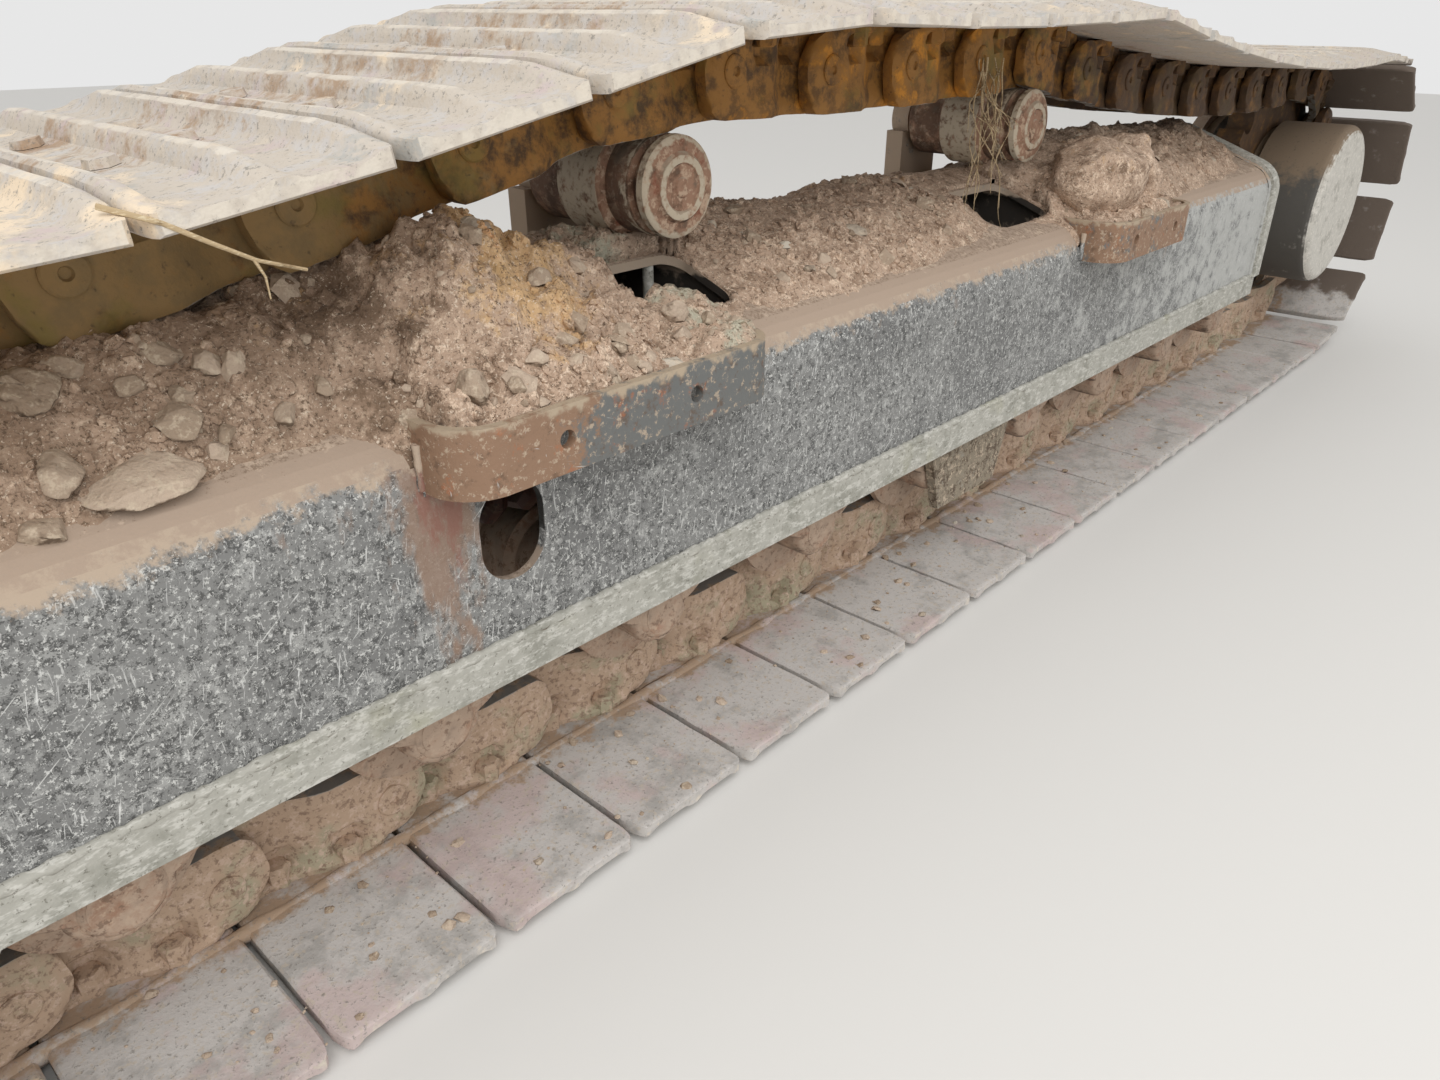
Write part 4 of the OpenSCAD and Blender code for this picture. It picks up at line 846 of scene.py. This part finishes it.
def bearing_shape(centre, side, seed):
    """One end bearing of a track roller, blunt with caked clay.

    It has a wide foot under the rail, and flanks that lead down to a round boss with a cap.
    """
    foot_w, foot_h, top, boss, steps = 0.0825, 0.028, RAIL_FOOT - centre[2], 0.046, 72
    reach = []
    for k in range(steps):
        a = math.tau * k / steps
        x, z = math.cos(a), math.sin(a)
        r = boss
        if z > 1e-6:
            r = max(r, min(top / z, foot_w / max(abs(x), 1e-6)))
        else:
            r = max(r, min(boss / max(abs(x), 0.2), 0.058)) if abs(z) < 0.35 else boss
        spread = boss + (foot_w - boss) * smooth(-0.012, top - foot_h, r * z)
        if abs(r * x) > spread and z > -0.3:
            r = spread / max(abs(x), 1e-6) if z < 0.35 else min(r, math.hypot(spread, top))
        reach.append(r)
    reach = [(reach[k - 1] + 2 * reach[k] + reach[(k + 1) % steps]) / 4 for k in range(steps)]
    rings = [(0.0, 0.0), (0.046, 0.0), (0.053, 0.0015), (0.057, 0.005), (0.0585, 0.009)]
    caps = [(0.036, 0.0575), (0.033, 0.0605), (0.026, 0.062), (0.014, 0.0618), (0.008, 0.059)]
    points = []
    for depth, inset in rings:
        for k, r in enumerate(reach):
            a = math.tau * k / steps
            p = Vector((r * math.cos(a), depth, r * math.sin(a)))
            lump = 0.0035 * noise.noise(p * 42 + Vector((seed, side, 0))) + 0.0015 * noise.noise(p * 130)
            r = r - inset - abs(lump)
            points.append(round_y(centre, r, a, side * (BEARING_Y + depth)))
    for radius, depth in caps:
        for k in range(steps):
            a = math.tau * k / steps
            wobble = 0.0008 * noise.noise(Vector((math.cos(a), math.sin(a), seed + radius * 50)) * 2.5)
            points.append(round_y(centre, radius, a, side * (BEARING_Y + depth + wobble)))
    return shaped("bearing", points, tube(len(rings) + len(caps), steps), 40)


bearings = [bearing_shape(middle_of(node), side, i + 1)
            for i, node in enumerate(ROLLERS) for side in (-1, 1)]
place("roller_bearings", joined("roller_bearings", bearings), roller_iron, "roller_steel",
      ["roller_collars"])


# Frame: welds, and the bolts of the drive and of the bearings

def frame_skin(side, lift=0.0):
    """(y, z) points over one side of the frame from the rail to the ridge."""
    run = WALL_Y if side < 0 else WALL_Y - RIDGE_W
    slope = math.atan2(RIDGE_Z - EAVES_Z, run)
    drop = BEND_R * math.tan((math.pi / 2 - slope) / 2)
    line = [(WALL_Y + lift, RAIL_HEAD + 0.002)]
    for i in range(8):
        a = (math.pi / 2 - slope) * i / 7
        line.append((WALL_Y - BEND_R + (BEND_R + lift) * math.cos(a),
                     EAVES_Z - drop + (BEND_R + lift) * math.sin(a)))
    line.append((0.0 if side < 0 else RIDGE_W, RIDGE_Z + lift))
    return [(side * y, z) for y, z in line]


def welds(name, lines, radius, material, slot):
    """Weld beads along lines of points."""
    points, edges = [], []
    for line in lines:
        edges += [(len(points) + i, len(points) + i + 1) for i in range(len(line) - 1)]
        points += line
    place_grown(name, start_mesh(points, edges), weld, {
        "Bead radius": radius, "Ripple length": 0.006, "Ripple depth": 0.0022}, material, slot)


rail_low, collar_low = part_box("outer_rail")[0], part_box("end_collar")[0]
along = (rail_low.x + 0.004, collar_low.x)
lines = [[(x, side * (WALL_Y + 0.002), RAIL_HEAD + 0.001) for x in along] for side in (-1, 1)]
welds("rail_welds", lines, 0.0052, rail_dust, "rail_steel")
lines = [[(collar_low.x - 0.001, y, z) for y, z in frame_skin(side, 0.001)] for side in (-1, 1)]
weld_y, weld_top, weld_back = -WALL_Y - 0.001, 0.548, 0.012
for node in BRACKETS:
    low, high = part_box(node)
    for x, out in ((low.x, -1), (high.x, 1)):
        lines.append([(x + out * 0.001, weld_y, z) for z in (low.z + 0.002, weld_top)])
    for x, inward in ((low.x, weld_back), (high.x, -weld_back)):
        lines.append([(x, weld_y, low.z - 0.001), (x + inward, weld_y, low.z - 0.001)])
welds("plate_welds", lines, 0.0042, wall_paint, "frame_paint")


def bolt_ring(name, node, radius, count, head):
    """Bolts on the inner face of a part of the drive, on a circle about the drive's axis."""
    hub, face = middle_of("travel_motor"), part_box(node)[1].y
    spots = [round_y(hub, radius, math.tau * (i + 0.5) / count, face) for i in range(count)]
    bolts(name, spots, [(0, 1, 0)] * count, (head, head * 0.75), (head * 1.3, 0.003), drive_paint,
          "drive_paint")


bolt_ring("mount_bolts", "drive_mount", 0.185, 18, 0.016)
bolt_ring("motor_bolts", "travel_motor", 0.062, 8, 0.009)

collar_x, collar_y, collar_z = 0.068, 0.1566, RAIL_FOOT - 0.028
spots = [(middle_of(node)[0] + dx, side * collar_y, collar_z)
         for node in ROLLERS for side in (-1, 1) for dx in (-collar_x, collar_x)]
bolts("collar_bolts", spots, [(0, 0, -1)] * len(spots), (0.0145, 0.012), (0.018, 0.003), roller_iron,
      "roller_steel")


# Soil on the roof and in the step brackets

def roof_surface():
    """What soil can lie on, as a tree that rays are cast at."""
    points, faces = [], []
    for node in ("outer_roof", "ridge_plate", "inner_roof", "outer_web"):
        data = frame["nodes"][node].data
        faces += [tuple(len(points) + i for i in polygon.vertices) for polygon in data.polygons]
        points += [vertex.co.copy() for vertex in data.vertices]
    return BVHTree.FromPolygons(points, faces)


support = roof_surface()
pockets = [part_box(node) for node in BRACKETS]
# Heights over all of the roof, of its lowest place, and of the soil that is packed in a bracket, which
# reaches so far in from the wall
ABOVE_ROOF, LOWEST_ROOF, PACKED_Z, PACKED_IN = 0.9, 0.46, 0.543, 0.045
# A bracket's plate with a gap, and how far its round corners reach outside and inside
PLATE_T, CORNER_R, CORNER_IN = 0.008, 0.05, 0.042


def ground_at(x, y):
    """The height that soil lies on at a place: the roof, the packed soil in a bracket, or nothing."""
    hit = support.ray_cast(Vector((x, y, ABOVE_ROOF)), Vector((0, 0, -1)))[0]
    for low, high in pockets:
        if low.x + PLATE_T < x < high.x - PLATE_T and low.y + PLATE_T < y < PACKED_IN - WALL_Y:
            corner_x = max(low.x + CORNER_R - x, x - high.x + CORNER_R, 0.0)
            corner_y = max(low.y + CORNER_R - y, 0.0)
            if corner_x == 0 or corner_y == 0 or math.hypot(corner_x, corner_y) < CORNER_IN:
                return PACKED_Z if hit is None else max(PACKED_Z, hit.z)
    return None if hit is None or hit.z < LOWEST_ROOF else hit.z


def depth_at(x, y, marks):
    """The soil's depth between marks of (x, y, depth), nearer ones weighing more."""
    top = bottom = 0.0
    for mx, my, depth in marks:
        w = 1.0 / (((x - mx) ** 2 + 1.8 * (y - my) ** 2) + 1e-5) ** 1.7
        top += w * depth
        bottom += w
    return top / bottom


def edge_at(x):
    """How far down the roof the loose soil reaches, as y. Below it lies only dust."""
    y = EDGE[-1][1]
    for (x0, y0), (x1, y1) in zip(EDGE, EDGE[1:]):
        if x0 <= x <= x1:
            y = y0 + (y1 - y0) * (x - x0) / (x1 - x0)
            break
    return y + 0.010 * noise.noise(Vector((x * 11, 3, 0))) + 0.006 * noise.noise(Vector((x * 47, 8, 0)))


def heap(x0, x1, y0, y1, step, marks, lumpy):
    """A closed heap over the roof, and its top surface alone with how thick crumbs lie on it."""
    nx, ny = int((x1 - x0) / step) + 1, int((y1 - y0) / step) + 1
    tops, floors, depths = {}, {}, {}
    for i in range(nx):
        for k in range(ny):
            x, y = x0 + i * step, y0 + k * step
            floor = ground_at(x, y)
            if floor is None:
                continue
            p = Vector((x, y, 0.0))
            edge = edge_at(x)
            depth = depth_at(x, y, marks) * smooth(edge, edge + 0.035, y)
            depth -= 0.004 * smooth(edge + 0.006, edge - 0.006, y)
            swell = noise.fractal(p * 14, 1.0, 2.0, 3, noise_basis="PERLIN_ORIGINAL")
            lumps = 1.0 - abs(noise.fractal(p * 38 + Vector((5, 3, 0)), 0.9, 2.1, 4))
            grain = noise.fractal(p * 130, 0.8, 2.0, 3)
            rise = depth * (1 + 0.35 * swell) + lumpy * (lumps - 0.75) * smooth(-0.002, 0.02, depth)
            rise += 0.0016 * grain
            depths[i, k] = rise
            tops[i, k] = (x, y, floor + max(rise, -0.003))
            floors[i, k] = (x, y, floor - 0.004)

    def corners(i, k):
        return [(i, k), (i + 1, k), (i + 1, k + 1), (i, k + 1)]

    kept = [(i, k) for i in range(nx - 1) for k in range(ny - 1)
            if all(c in tops for c in corners(i, k)) and max(depths[c] for c in corners(i, k)) > 0.0005]
    cells = set(kept)
    index, points, faces = {}, [], []

    def at(kind, key):
        if (kind, key) not in index:
            index[kind, key] = len(points)
            points.append(tops[key] if kind else floors[key])
        return index[kind, key]

    for i, k in kept:
        ring = corners(i, k)
        faces.append(tuple(at(1, c) for c in ring))
        faces.append(tuple(at(0, c) for c in reversed(ring)))
        beside = ((i, k - 1), (i + 1, k), (i, k + 1), (i - 1, k))
        for near, a, b in zip(beside, ring, ring[1:] + ring[:1]):
            if near not in cells:
                faces.append((at(0, a), at(0, b), at(1, b), at(1, a)))
    spots = sorted(tops)
    order = {c: n for n, c in enumerate(spots)}
    patchy = [0.25 + 0.75 * smooth(-0.25, 0.35, noise.noise(Vector(tops[c]) * 9)) for c in spots]
    cover = [min(1.0, max(0.0, depths[c] / 0.02)) * patch for c, patch in zip(spots, patchy)]
    top = start_mesh([tops[c] for c in spots], faces=[
        tuple(order[c] for c in corners(i, k)) for i, k in kept], cover=cover)
    mesh = bpy.data.meshes.new("heap")
    mesh.from_pydata(points, [], faces)
    for polygon in mesh.polygons:
        polygon.use_smooth = True
    return mesh, top


# Places (x, y) along the soil's lower edge, which reaches the rims of the brackets, and (x, y, depth) marks
# of the soil on the front, the middle and the rear of the roof
EDGE = [
    (-1.90, -0.200), (-1.45, -0.202), (-1.30, -0.207), (-1.20, -0.192), (-1.13, -0.194), (-1.088, -0.225),
    (-1.074, -0.30), (-0.665, -0.30), (-0.650, -0.215), (-0.58, -0.198), (-0.36, -0.202), (-0.20, -0.196),
    (-0.04, -0.176), (0.10, -0.150), (0.20, -0.20), (0.222, -0.30), (0.548, -0.30), (0.565, -0.212),
    (0.80, -0.205), (1.05, -0.190), (1.20, -0.180)]
FRONT_MARKS = [
    (-1.90, -0.20, -0.01), (-1.90, 0.0, -0.01), (-1.90, 0.2, -0.01), (-1.75, -0.08, 0.030),
    (-1.75, -0.19, 0.004), (-1.60, -0.10, 0.045), (-1.60, -0.19, 0.012), (-1.60, -0.225, -0.004),
    (-1.45, -0.10, 0.050), (-1.45, -0.19, 0.018), (-1.45, -0.225, -0.004), (-1.324, -0.10, 0.050),
    (-1.30, -0.19, 0.020), (-1.30, -0.225, -0.004), (-1.228, -0.10, 0.060), (-1.20, -0.19, 0.030),
    (-1.18, -0.225, 0.000), (-1.13, -0.20, 0.030), (-1.10, -0.225, 0.004), (-1.12, -0.12, 0.060),
    (-1.075, -0.19, 0.034), (-1.075, -0.12, 0.060), (-1.037, -0.10, 0.096), (-1.03, -0.15, 0.105),
    (-1.04, -0.19, 0.085), (-1.04, -0.24, 0.045), (-0.99, -0.13, 0.128), (-0.99, -0.17, 0.122),
    (-0.95, -0.12, 0.118), (-0.95, -0.16, 0.122), (-0.962, -0.20, 0.104), (-0.92, -0.10, 0.095),
    (-0.962, -0.24, 0.072), (-0.966, -0.275, 0.034), (-1.04, -0.275, 0.018), (-0.90, -0.15, 0.108),
    (-0.90, -0.20, 0.088), (-0.90, -0.24, 0.058), (-0.85, -0.13, 0.080), (-0.85, -0.18, 0.066),
    (-0.85, -0.23, 0.045), (-0.88, -0.24, 0.050), (-0.88, -0.275, 0.024), (-0.82, -0.16, 0.055),
    (-0.80, -0.22, 0.030), (-0.80, -0.27, 0.020), (-0.75, -0.19, 0.045), (-0.70, -0.20, 0.040),
    (-0.70, -0.25, 0.034), (-0.68, -0.27, 0.024), (-0.655, -0.20, 0.022), (-0.82, -0.08, 0.050),
    (-0.79, -0.03, 0.012), (-0.62, -0.19, 0.002), (-0.95, -0.06, 0.060), (-0.95, 0.05, 0.020),
    (-1.2, 0.05, 0.024), (-1.5, 0.05, 0.020), (-1.7, 0.05, 0.012), (-0.95, 0.15, 0.006),
    (-1.3, 0.15, 0.004), (-0.80, 0.08, 0.000), (-1.3, 0.22, -0.01), (-0.9, 0.22, -0.01),
    (-0.60, -0.20, -0.004), (-0.60, 0.05, -0.006)]
MIDDLE_MARKS = [
    (-0.60, -0.10, 0.002), (-0.60, -0.20, -0.004), (-0.50, -0.05, 0.018), (-0.50, -0.11, 0.026),
    (-0.50, -0.17, 0.014), (-0.50, -0.21, -0.003), (-0.36, -0.04, 0.020), (-0.36, -0.10, 0.034),
    (-0.36, -0.16, 0.024), (-0.36, -0.21, -0.002), (-0.22, -0.04, 0.016), (-0.22, -0.10, 0.032),
    (-0.22, -0.16, 0.020), (-0.22, -0.21, -0.003), (-0.07, -0.05, 0.016), (-0.07, -0.11, 0.022),
    (-0.07, -0.17, 0.008), (-0.07, -0.21, -0.005), (0.02, -0.02, 0.010), (0.03, -0.19, -0.002),
    (-0.3, 0.02, 0.004), (-0.3, 0.12, 0.004), (-0.3, 0.2, -0.01), (0.1, -0.02, 0.004), (0.1, 0.1, -0.004)]
REAR_MARKS = [
    (0.22, -0.10, 0.010), (0.22, -0.20, 0.006), (0.27, -0.06, 0.045), (0.27, -0.14, 0.050),
    (0.27, -0.21, 0.040), (0.38, -0.06, 0.055), (0.38, -0.13, 0.085), (0.40, -0.19, 0.070),
    (0.42, -0.25, 0.040), (0.30, -0.26, 0.032), (0.52, -0.10, 0.060), (0.52, -0.18, 0.050),
    (0.50, -0.26, 0.022), (0.62, -0.06, 0.050), (0.62, -0.14, 0.050), (0.62, -0.20, 0.016),
    (0.75, -0.06, 0.045), (0.75, -0.13, 0.040), (0.75, -0.20, 0.008), (0.9, -0.06, 0.040),
    (0.9, -0.13, 0.032), (0.9, -0.20, 0.002), (1.05, -0.06, 0.036), (1.05, -0.14, 0.020),
    (1.05, -0.20, 0.000), (1.17, -0.06, 0.018), (1.17, -0.18, -0.004), (0.4, 0.03, 0.025),
    (0.7, 0.03, 0.022), (1.0, 0.03, 0.015), (0.4, 0.12, 0.006), (0.8, 0.12, 0.006), (0.5, 0.2, -0.01),
    (0.9, 0.2, -0.01), (0.20, 0.04, -0.004)]

for label, box, marks, lumpy, thick in (
        ("soil_front", (-1.90, -0.585, -0.284, 0.222), FRONT_MARKS, 0.014, 15000.0),
        ("soil_middle", (-0.60, 0.235, -0.224, 0.222), MIDDLE_MARKS, 0.008, 16000.0),
        ("soil_rear", (0.205, 1.19, -0.284, 0.222), REAR_MARKS, 0.010, 5000.0)):
    mesh, top = heap(*box, 0.006, marks, lumpy)
    place(label, mesh, soil_skin, "frame_paint")
    place_grown(label + "_crumbs", top, crumbs, {
        "Density": thick, "Smallest": 0.0016, "Largest": 0.0085, "Flatness": 0.75, "Seed": 3},
        soil_skin, "frame_paint")
    place_grown(label + "_stones", top, crumbs, {
        "Density": thick / 22, "Smallest": 0.004, "Largest": 0.016, "Flatness": 0.6, "Seed": 8},
        stone_skin, "frame_paint")


def stone(centre, size, turn, seed, facets=13, rough=0.07, tilt=0.30, shade=None):
    """A broken stone: a ball cut back by planes and roughened, turned about z and tilted with the roof."""
    rng = random.Random(seed)
    bm = bmesh.new()
    bmesh.ops.create_icosphere(bm, subdivisions=4, radius=1.0)
    cuts = []
    for _ in range(facets):
        way = Vector((rng.uniform(-1, 1), rng.uniform(-1, 1), rng.uniform(-0.6, 1))).normalized()
        cuts.append((way, rng.uniform(0.50, 0.88)))
    spin = Matrix.Rotation(tilt, 3, "X") @ Matrix.Rotation(turn, 3, "Z")
    for vertex in bm.verts:
        p = vertex.co.copy()
        for way, reach in cuts:
            over = p.dot(way) - reach
            if over > 0:
                p -= way * over * 0.97
        p *= 1 + rough * noise.fractal(p * 2.3 + Vector((seed, 0, 0)), 0.9, 2.0, 5)
        vertex.co = Vector(centre) + spin @ Vector((p.x * size[0], p.y * size[1], p.z * size[2]))
    for face in bm.faces:
        face.smooth = True
    mesh = bpy.data.meshes.new("stone")
    bm.to_mesh(mesh)
    bm.free()
    tone = rng.random() if shade is None else shade
    mesh.attributes.new("shade", "FLOAT", "POINT").data.foreach_set("value", [tone] * len(mesh.vertices))
    return mesh


# (x, y, half length, half width, half height) of the larger stones that lie in the soil
STONES = [
    (-1.290, -0.190, 0.046, 0.034, 0.014), (-1.245, -0.165, 0.030, 0.022, 0.013),
    (-1.335, -0.175, 0.028, 0.022, 0.012), (-1.325, -0.120, 0.036, 0.026, 0.014),
    (-1.300, -0.105, 0.022, 0.018, 0.013), (-1.235, -0.125, 0.021, 0.014, 0.011),
    (-1.205, -0.135, 0.018, 0.013, 0.010), (-1.170, -0.182, 0.018, 0.012, 0.009),
    (-1.265, -0.135, 0.014, 0.012, 0.010), (-1.150, -0.120, 0.013, 0.011, 0.009),
    (-1.130, -0.175, 0.012, 0.010, 0.008), (-1.220, -0.185, 0.013, 0.009, 0.007),
    (-1.360, -0.200, 0.020, 0.016, 0.010), (-1.410, -0.150, 0.030, 0.024, 0.015),
    (-1.440, -0.180, 0.024, 0.018, 0.012), (-1.030, -0.248, 0.021, 0.019, 0.019),
    (-0.995, -0.262, 0.010, 0.009, 0.009), (-0.965, -0.255, 0.013, 0.010, 0.009),
    (-0.925, -0.262, 0.011, 0.010, 0.008), (-0.885, -0.215, 0.018, 0.013, 0.011),
    (-0.865, -0.250, 0.012, 0.010, 0.008), (-0.900, -0.180, 0.015, 0.012, 0.010),
    (-0.740, -0.205, 0.018, 0.014, 0.014), (-0.705, -0.225, 0.015, 0.012, 0.012),
    (-0.690, -0.250, 0.013, 0.011, 0.011), (-0.715, -0.255, 0.012, 0.010, 0.010),
    (-0.760, -0.235, 0.013, 0.011, 0.011), (-0.680, -0.215, 0.011, 0.009, 0.009),
    (-0.10, -0.150, 0.016, 0.012, 0.010), (-0.32, -0.130, 0.010, 0.009, 0.007),
    (-0.45, -0.120, 0.011, 0.008, 0.007), (-1.395, -0.100, 0.020, 0.014, 0.012)]
# Where the middle soil starts, and the front bracket, in front of which the soil thins out to the eaves
MIDDLE_START, BRACKET_START = -0.6, -1.09
stones = []
for i, (x, y, long, wide, high) in enumerate(STONES):
    depth = depth_at(x, y, FRONT_MARKS if x < MIDDLE_START else MIDDLE_MARKS)
    if x < BRACKET_START:
        depth *= smooth(-0.21, -0.175, y)
    rest = ground_at(x, y) + max(0.0, depth) + 0.05 * high
    stones.append(stone((x, y, rest), (long, wide, high), 2.4 * i, i))
place("loose_stones", joined("loose_stones", stones), stone_skin, "frame_paint")
lumps = [stone((0.324, -0.184, 0.624), (0.114, 0.074, 0.088), -0.2, 51, 10, 0.09, 0.1, 0.45),
         stone((0.436, -0.186, 0.608), (0.080, 0.070, 0.080), 0.3, 58, 10, 0.13, 0.1, 0.45)]
place("clay_lumps", joined("clay_lumps", lumps), soil_skin, "frame_paint")

# Roots that hang from the chain over the rear window, and a stalk on the front shoes
rng = random.Random(17)
stems = []
for i in range(12):
    top = Vector((rng.uniform(0.0, 0.075), rng.uniform(-0.125, -0.105), rng.uniform(0.79, 0.82)))
    end = Vector((rng.uniform(-0.02, 0.17), rng.uniform(-0.17, -0.10), 0.0))
    end.z = (ground_at(end.x, end.y) or 0.56) + 0.004 if i % 4 == 0 else rng.uniform(0.61, 0.72)
    path = []
    for k in range(17):
        t = k / 16
        sway = 0.022 * math.sin(math.pi * t) * math.sin(7 * t + 2.3 * i)
        path.append(top.lerp(end, t ** 1.7) + Vector((sway, 0.6 * sway * math.cos(i), 0)))
        path[-1].z = top.z + (end.z - top.z) * t
    stems.append(stem(path, 0.0019 if i < 3 else 0.0011, 0.0005))
    for k in (6, 11):
        aside = Vector((rng.uniform(-0.035, 0.035), rng.uniform(-0.01, 0.01), rng.uniform(-0.05, -0.02)))
        fork = path[k + 1] + aside
        stems.append(stem([path[k], (path[k + 1] + fork) * 0.5, fork], 0.0008, 0.0004))
stems.append(stem([(-1.300, -0.283, 0.779), (-1.272, -0.299, 0.768), (-1.245, -0.303, 0.752),
                   (-1.22, -0.304, 0.738), (-1.187, -0.303, 0.7265)], 0.0021, 0.0012))
stems.append(stem([(-1.222, -0.304, 0.739), (-1.217, -0.305, 0.727), (-1.216, -0.304, 0.712)],
                  0.0013, 0.0006))
place("dry_roots", joined("dry_roots", stems), root_bark, "frame_paint")

# Two thin pipes behind the front window, from the roof to the outer wall
PIPE = [(-0.040, 0.6085), (-0.040, 0.560), (-0.040, 0.470), (-0.048, 0.448), (-0.070, 0.440),
        (-0.150, 0.436), (-0.220, 0.435)]
pipes = [stem([(x, y, z) for y, z in PIPE], 0.007, 0.007, 14) for x in (-0.622, -0.688)]
place("grease_pipes", joined("grease_pipes", pipes), rail_dust, "rail_steel")

# Soil banked against the links on the ground run, and crumbs on its shoes
seat_z = min(p[2] for p in pins) + SHOE_SEAT
bank_x, bank_y, bank_step, bank_steps = -1.72, 0.1035, 0.05, 66
banks = []
for side in (-1, 1):
    sway = [0.006 * noise.noise(Vector((i * 0.9, side, 0))) for i in range(bank_steps + 1)]
    path = [(bank_x + bank_step * i, side * (bank_y + out), seat_z - 0.0055) for i, out in enumerate(sway)]
    banks.append(grown(start_mesh(path, [(i, i + 1) for i in range(bank_steps)]), weld, {
        "Bead radius": 0.0095, "Ripple length": 0.030, "Ripple depth": 0.006, "Finish": shoe_dust}))
place("banked_soil", joined("banked_soil", banks), shoe_dust, "shoe_steel")
strips = start_mesh(
    [(x, y, seat_z + 0.0005) for x in (-1.68, 1.56) for y in (-0.29, -0.11, 0.11, 0.29)],
    faces=[(0, 4, 5, 1), (2, 6, 7, 3)], cover=[0.3, 1.0, 1.0, 0.3] * 2)
place_grown("shoe_crumbs", strips, crumbs, {
    "Density": 700.0, "Smallest": 0.0012, "Largest": 0.0080, "Flatness": 0.7, "Seed": 5},
    stone_skin, "shoe_steel")


# Stage: plain pale floor and soft light

def make_stage():
    """A pale floor of 28 m, a pale sky, and one large lamp in front on the left."""
    s = 14.0
    mesh = bpy.data.meshes.new("floor")
    mesh.from_pydata([(-s, -s, 0), (s, -s, 0), (s, s, 0), (-s, s, 0)], [], [(0, 1, 2, 3)])
    floor = bpy.data.objects.new("floor", mesh)
    bpy.context.scene.collection.objects.link(floor)
    mat = bpy.data.materials.new("matt_pale_floor")
    mat.use_nodes = True
    shader = mat.node_tree.nodes["Principled BSDF"]
    shader.inputs["Base Color"].default_value = linear("#dcdad6")
    shader.inputs["Roughness"].default_value = 0.9
    mesh.materials.append(mat)
    world = bpy.data.worlds.new("world")
    world.use_nodes = True
    sky = world.node_tree.nodes["Background"]
    sky.inputs["Color"].default_value = (1.0, 1.0, 1.0, 1.0)
    sky.inputs["Strength"].default_value = 0.8
    bpy.context.scene.world = world
    data = bpy.data.lights.new("sky_panel", "AREA")
    data.energy = 160
    data.size = 4.0
    lamp = bpy.data.objects.new("sky_panel", data)
    lamp.location = (-2.5, -3.0, 4.0)
    lamp.rotation_euler = (math.radians(40), 0, math.radians(-40))
    bpy.context.scene.collection.objects.link(lamp)


make_stage()

# Finishes of the CAD's own nodes. The collar at the frame's end is as dusty as the rails.
finishes = {
    "rail_steel": rail_dust, "bracket_steel": bracket_skin, "roller_steel": roller_iron,
    "bright_steel": bright_steel, "spring_steel": spring_paint, "drive_paint": drive_paint,
    "shoe_steel": shoe_dust, "chain_steel": chain_rust, "frame_paint": wall_paint}
for part in frame["record"]["subparts"]:
    data = frame["nodes"][part["node"]].data
    data.materials.clear()
    data.materials.append(rail_dust if part["node"] == "end_collar" else finishes[part["material_slot"]])

bpy.context.scene.view_settings.view_transform = "Standard"
